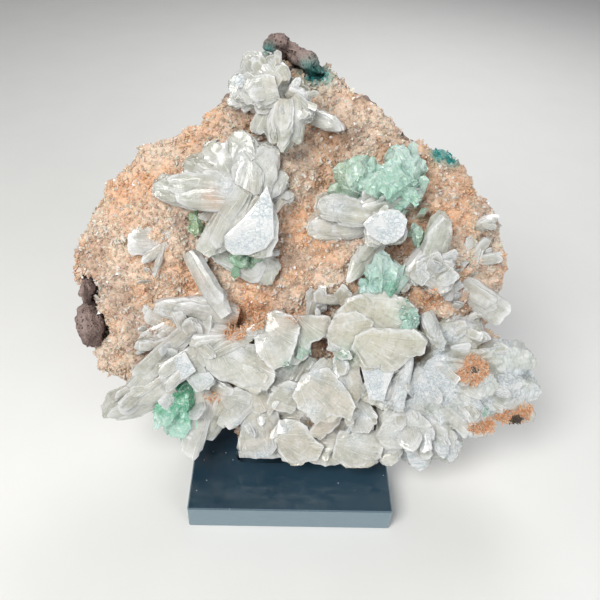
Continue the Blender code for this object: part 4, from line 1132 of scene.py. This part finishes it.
GREENS = [
    # u, v, radius, colour
    (17, 119, 10, (0.62, 0.82, 0.68)), (12, 118, 5, MOSS), (25, 117, 6, (0.66, 0.90, 0.79)), (31, 117, 7, (0.36, 0.72, 0.54)),
    (34.5, 125, 8, FROST_AQUA), (29, 124, 4, FROST_AQUA), (40, 115, 6, (0.60, 0.84, 0.70)), (36, 112, 5, (0.50, 0.82, 0.66)),
    (31, 87, 6, FROST_AQUA), (30, 79, 5, (0.50, 0.82, 0.69)), (36, 75.5, 3.5, GREEN), (26, 75, 3, (0.75, 0.92, 0.9)),
    (-42, 34, 6, GREEN), (-38, 31, 4, GREEN), (-46, 25, 7, (0.16, 0.58, 0.36)), (-47, 14, 8, (0.60, 0.90, 0.78)), (-54, 15, 4, (0.68, 0.93, 0.84)),
    (-38, 100, 8, (0.36, 0.50, 0.28)), (-20, 86, 7, (0.34, 0.55, 0.37)), (2, 51, 6, (0.62, 0.82, 0.68)), (43, 66, 6, (0.62, 0.88, 0.76)),
    (44, 96, 6, (0.50, 0.72, 0.54)), (41, 101, 4, FROST_AQUA),
]


def green_tints(points):
    """Blends the greens, each weighted by how near its place is."""
    u, v = readings(points)
    total, weights = np.zeros((len(points), 3)), np.full(len(points), 1e-6)
    total += np.array(MINT) * 1e-6
    for su, sv, radius, colour in GREENS:
        near = np.exp(-((u - su) ** 2 + (v - sv) ** 2) / (radius * radius))
        total, weights = total + near[:, None] * np.array(colour), weights + near
    return total / weights[:, None]


# %% [markdown]
# Under the prisms lies the grown mass that they share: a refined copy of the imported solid, a little
# lower, in the same glassy green.

# %% The apophyllite clusters
PRISM = seed(4, 0.95, 0.14, 1.0)
SPIRE = seed(4, 0.9, 0.42, 0.6)
APOPHYLLITE = {
    # node, [(foot, tip, spread at the foot, spread at the tip, count, width)]
    "upper_right": ("apophyllite_upper_right", [
        ((19, 113, 6), (15, 121, 12), 6, 8, 16, 6.0),
        ((25, 113, 7), (22, 122, 13), 6, 7, 14, 5.5),
        ((33, 113, 8), (34, 122, 13), 8, 9, 26, 5.5),
        ((35, 117, 6), (35, 128, 10), 8, 7, 16, 4.5),
        ((34, 112, 7), (35, 114, 15), 8, 8, 12, 5.5),
    ]),
    "centre_right": ("apophyllite_centre_right", [
        ((31, 73, 9), (26, 85, 13), 2, 5, 8, 4.2),
        ((32, 74, 9), (31, 90, 13), 3, 4, 9, 4.2),
        ((33, 74, 9), (37, 86, 13), 2, 5, 8, 4.2),
        ((29, 75, 9), (25, 76, 13), 2, 2, 5, 3.6),
    ]),
    "lower_left": ("apophyllite_lower_left", [
        ((-43, 37, 5), (-45, 24, 11), 5, 6, 12, 5.0),
        ((-44, 30, 6), (-51, 15, 12), 6, 7, 14, 5.0),
        ((-43, 29, 6), (-46, 11, 12), 5, 7, 14, 5.0),
    ]),
    "under_sheaf": ("apophyllite_under_sheaf", [((-39, 105, 3), (-36, 96, 7), 1.5, 1.5, 5, 3.4)]),
    "below_sheaf": ("apophyllite_below_sheaf", [((-20, 91, 7), (-21, 83.5, 10), 5, 6, 10, 4.4)]),
    "centre": ("apophyllite_centre", [
        ((2, 55, 7), (4, 54, 11), 3, 3, 7, 3.8),
        ((1.5, 53, 7), (2.5, 48.5, 14), 3, 3, 7, 3.8),
    ]),
    "small_right": ("apophyllite_small_right", [((43, 63, 10), (43, 67, 15), 3, 3, 9, 3.6)]),
    "slender": ("apophyllite_slender", [((47, 90, 4), (41, 101, 10), 1.2, 1.2, 4, 3.6)]),
}


def glass_shift(place, normal):
    return (noise.fractal(place * 330, 0.7, 2.0, 3) * 0.8 - 0.7) * MM


chance = np.random.default_rng(31)
for name, (node, bunches) in APOPHYLLITE.items():
    bm = copied(node)
    refined(bm, 1.3 * MM, 6)
    roughened(bm, glass_shift)
    bm.verts.layers.float_vector.new("grain")
    for vert in bm.verts:
        vert[bm.verts.layers.float_vector["grain"]] = vert.co / MM
    mass = object_of(bm, name + "_mass", apophyllite.material)
    dyed(mass, green_tints(points_of(mass)))
    settled(mass, "apophyllite")
    spots, turns, sizes, heads = [], [], [], []
    for foot, tip, foot_spread, tip_spread, count, width in bunches:
        for _ in range(count):
            shift = chance.normal(0, 0.45, 2)
            low = placed(foot[0] + shift[0] * foot_spread, foot[1] + shift[1] * foot_spread, foot[2])
            part = chance.uniform(0.6, 1.0)
            high = placed(
                foot[0] + (tip[0] - foot[0]) * part + shift[0] * tip_spread,
                foot[1] + (tip[1] - foot[1]) * part + shift[1] * tip_spread,
                foot[2] + (tip[2] - foot[2]) * part,
            )
            along, across, out = crystal_axes(low, high, chance.uniform(-25, 25))
            wide = width * chance.uniform(0.55, 1.1) * MM
            spots.append(low)
            turns.append(np.array([across, out, along]).T)
            sizes.append((wide, wide * chance.uniform(0.4, 1.0), (high - low).length))
            heads.append(high)
    shapes = [SPIRE, PRISM] if name == "centre_right" else [PRISM, SPIRE, PRISM]
    tints = green_tints(np.array(heads)) * chance.uniform(0.9, 1.1, (len(heads), 1))
    piece = sown(name + "_apophyllite", shapes, np.array(spots), np.array(turns), np.array(sizes), tints, apophyllite.material)
    settled(piece, "apophyllite", node)

# %% [markdown]
# Small crystals fill every gap between the large ones. They are dropped where the eye would see them:
# a ray from the eye through a place on the reading plane finds the surface, and a lath is set there.

# %% Small crystals between the large ones
def surface_tree(names):
    """A search tree over several pieces."""
    points, faces, start = [], [], 0
    for name in names:
        mesh = bpy.data.objects[name].data
        points += [v.co.copy() for v in mesh.vertices]
        faces += [[start + k for k in p.vertices] for p in mesh.polygons]
        start = len(points)
    return BVHTree.FromPolygons(points, faces)


grown = [o.name for o in bpy.data.objects if o.name.endswith(("_stilbite", "_apophyllite", "_mass")) or o.name == "druse_ground"]
surfaces = surface_tree(grown)
eye_point = on_face(*EYE)


def seen(u, v):
    """Where the eye meets the specimen in this direction, and how the surface faces there."""
    toward = (on_face(u, v, READ_W) - eye_point).normalized()
    hit, normal, _, _ = surfaces.ray_cast(eye_point, toward)
    if hit is None:
        return None
    return hit, normal if normal.dot(toward) < 0 else -normal


CENTRES = [(-36, 52), (8, 58), (47, 52), (34, 60), (-20, 110), (22, 104), (-8, 146)]
FILLS = {
    # name: [(u, v, reach to the side, reach up, count, shortest, longest)]
    "lower_fill": [(14, 3, 34, 5, 14, 6, 10), (-14, 12, 10, 10, 5, 5, 9), (58, 14, 14, 12, 8, 6, 11), (14, 50, 8, 5, 5, 4, 8),
                   (-30, 55, 20, 7, 8, 4, 8), (27, 24, 6, 8, 8, 3, 5), (-8, 22, 8, 10, 8, 3, 6)],
    "left_fill": [(-54, 30, 18, 12, 16, 6, 11), (-48, 56, 14, 10, 12, 4, 9), (-75, 44, 4, 5, 12, 3, 5), (-38, 12, 8, 7, 7, 4, 8)],
    "right_fill": [(72, 42, 20, 15, 12, 4, 9), (60, 18, 22, 13, 24, 5, 10), (62, 62, 9, 7, 8, 4, 8), (62, 32, 30, 22, 30, 2, 4.5),
                   (49, 82, 7, 8, 16, 4, 9), (60, 74, 5, 5, 6, 3, 6), (66, 90, 4, 3, 5, 5, 9), (58, 82, 5, 5, 6, 3, 6)],
    "upper_fill": [(-18, 149, 8, 7, 14, 3, 6), (-3, 143, 6, 5, 9, 2.5, 5), (12, 70, 7, 5, 10, 3, 7), (-54, 78, 3, 3, 4, 3, 5),
                   (24, 106, 7, 4, 6, 2.5, 5), (68, 103, 4, 3, 4, 4, 7)],
}


def dropped(bm, patch, rng):
    """Sets crystals on an oval patch, leaning away from the nearest centre of growth."""
    u, v, reach_u, reach_v, count, shortest, longest = patch
    for _ in range(count):
        angle, far = rng.uniform(0, 2 * math.pi), math.sqrt(rng.random())
        pu, pv = u + reach_u * far * math.cos(angle), v + reach_v * far * math.sin(angle)
        size = rng.uniform(shortest, longest)
        centre = min(CENTRES, key=lambda c: math.dist(c, (pu, pv)))
        away = Vector((pu - centre[0], 0, 0)) + UP_FACE * (pv - centre[1])
        sway = Vector([rng.gauss(0, 0.33) for _ in range(3)])
        found = seen(pu, pv)
        if found is None:
            continue
        hit, normal = found
        lean = (normal * 0.12 + OUT * 0.1 + away.normalized() * 0.9 + sway).normalized()
        foot, tip = hit - normal * 0.16 * size * MM, hit + lean * size * MM
        tip_u, tip_v = (float(c[0]) for c in readings([tip]))
        if seen(tip_u, tip_v) is None or not inside_box(np.array([tip]))[0]:
            continue
        shape = rng.choice(("round", "blunt", "blunt", "point"))
        grow_crystal(bm, foot, tip, size * rng.uniform(0.5, 1.0), size * rng.uniform(0.12, 0.2), rng.uniform(-28, 28),
                     shape, rng, 1 if size < 5 else 2, rng.choice((0, 0.1, 0.1, 0.6)))


for number, (name, patches) in enumerate(FILLS.items()):
    bm, rng = stilbite_mesh(), random.Random(500 + number)
    for patch in patches:
        dropped(bm, patch, rng)
    stilbite_piece(bm, name)

# %% [markdown]
# Orange needles stand in a flower on the right lobe and in a crust along its lower edge, and smaller
# tufts of them sit where blades meet. They are the druse's seeds once more, dropped from the eye.

# %% Orange crusts and a speck of green
TUFTS = [
    # u, v, reach to the side, reach up, count, shortest, longest, how wide they open
    (70, 44.5, 5.4, 5.4, 640, 0.9, 2.3, 1.0), (76, 18.5, 5, 2.4, 260, 1.0, 2.2, 0.3), (82, 20.5, 5.5, 2.8, 380, 1.0, 2.4, 0.3),
    (88, 24, 5.5, 2.8, 400, 1.0, 2.4, 0.3), (93, 27.5, 3, 2.4, 150, 1.0, 2.2, 0.3), (50, 73, 3.6, 4.2, 160, 1.2, 2.6, 0.5),
    (-44, 77, 4, 3.5, 70, 1.0, 2.0, 0.4), (-17, 65, 6, 5.5, 380, 1.0, 2.2, 0.3), (-23, 58, 4, 3.5, 170, 1.0, 2.0, 0.3),
    (0, 64.5, 3, 2, 30, 0.9, 1.8, 0.4), (-31, 30, 3.5, 2.6, 40, 0.9, 1.8, 0.4),
]
chance = np.random.default_rng(44)
surfaces = surface_tree([o.name for o in bpy.data.objects if o.name.endswith(("_stilbite", "_apophyllite", "_mass", "_fill"))]
                        + ["druse_ground"])
feet, leans, lengths, tints = [], [], [], []
for u, v, reach_u, reach_v, count, shortest, longest, opening in TUFTS:
    for _ in range(count):
        angle, far = chance.uniform(0, 2 * math.pi), math.sqrt(chance.random())
        ragged = 1 + 0.42 * noise.noise(Vector((math.cos(angle) * 1.6, math.sin(angle) * 1.6, u)))
        pu, pv = u + reach_u * far * ragged * math.cos(angle), v + reach_v * far * ragged * math.sin(angle)
        size, sway = chance.uniform(shortest, longest), Vector(chance.normal(0, 0.42, 3))
        shade = chance.uniform(0, 1)
        found = seen(pu, pv)
        if found is None:
            continue
        hit, normal = found
        away = Vector((pu - u, 0, 0)) + UP_FACE * (pv - v)
        feet.append(hit - normal * size * 0.25 * MM)
        leans.append((normal * 0.7 + away.normalized() * opening * far * 0.6 + sway).normalized())
        lengths.append(size * MM)
        tint = np.array((1.0, 0.44, 0.19)) * (1 - shade) + np.array((1.0, 0.76, 0.58)) * shade
        dark = 0.92 if (opening == 1.0 and far < 0.24) or math.dist((pu, pv), (90, 22.8)) < 2.6 else 0
        tints.append(tint * (1 - dark) + np.array((0.09, 0.10, 0.09)) * dark)
feet, leans, lengths, tints = (np.array(x) for x in (feet, leans, lengths, tints))
room = inside_box(feet + leans * lengths[:, None])
feet, leans, lengths, tints = feet[room], leans[room], lengths[room], tints[room]
sizes = np.stack([lengths * 0.42, lengths * 0.42, lengths], axis=1)
settled(sown("orange_tufts", SEEDS, feet, frames_for(leans, chance, 0.05), sizes, tints, druse_glass.material), "druse")

GLINTS = [(77, 25.5, 1.4, 9), (-3, 44.8, 1.6, 6), (19, 50, 2.4, 9), (40, 70, 2.6, 10), (43, 64, 3, 14)]
feet, leans = [], []
for u, v, reach, count in GLINTS:
    for _ in range(count):
        found = seen(u + chance.normal(0, reach / 2), v + chance.normal(0, reach / 2))
        if found is not None:
            feet.append(found[0] - found[1] * 0.5 * MM)
            leans.append((found[1] + Vector(chance.normal(0, 0.3, 3))).normalized())
feet, leans = np.array(feet), np.array(leans)
lengths = chance.uniform(0.8, 1.7, len(feet)) * MM
sizes = np.stack([lengths * 0.8, lengths * 0.8, lengths], axis=1)
piece = sown("green_specks", [PRISM], feet, frames_for(leans, chance, 0.05), sizes, green_tints(feet) * 0.9, apophyllite.material)
settled(piece, "apophyllite")

# %% [markdown]
# The block is cut from dark acrylic sheet: its top is polished, its sawn edges are pale and satin,
# and it has picked up fine scratches and dust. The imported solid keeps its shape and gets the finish.

# %% The display block
acrylic = Finish("acrylic", IOR=1.49, Coat_Weight=0.6, Coat_Roughness=0.06)
where = acrylic.place()
facing = acrylic.node("NewGeometry", out="Normal")
upward = acrylic.node("SeparateXYZ", inputs={0: facing}, out=2)
top = upward.above(0.5, 0.9)
saw = acrylic.noise(acrylic.stretched(where, (1, 1, 14)), 260, 3, 0.6)
scratches = acrylic.noise(acrylic.stretched(where, (12, 1, 1)), 220, 3, 0.6)
specks = 1 - acrylic.cells(where, 240).above(0.03, 0.07)
sheen = acrylic.noise(where, 18, 2, 0.5)
edge = acrylic.mix(saw, (0.135, 0.20, 0.24), (0.20, 0.28, 0.33))
face = acrylic.mix(sheen.above(0.3, 0.7), (0.013, 0.034, 0.054), (0.026, 0.058, 0.086))
colour = acrylic.mix(top, edge, face)
colour = acrylic.mix(specks * top * 0.8, colour, (0.65, 0.7, 0.74))
acrylic.wear(
    Base_Color=colour,
    Roughness=0.42 - top * 0.28 + scratches.above(0.6, 0.8) * 0.15,
    Normal=acrylic.bump(saw * (1 - top) + scratches * 0.1, 0.15, 0.0003),
)
block = frame["nodes"]["display_block"]
block.data.materials.clear()
block.data.materials.append(acrylic.material)

# %% [markdown]
# The last cell prints the box of the finished specimen beside the box of its solids. It should be no
# larger, because the looks never change the size.

# %% Sizes and finish
visual_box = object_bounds()
for label, (low, high) in (("solids", cad_box), ("finished", visual_box)):
    print(label, [round(c / MM, 2) for c in low], [round(c / MM, 2) for c in high])
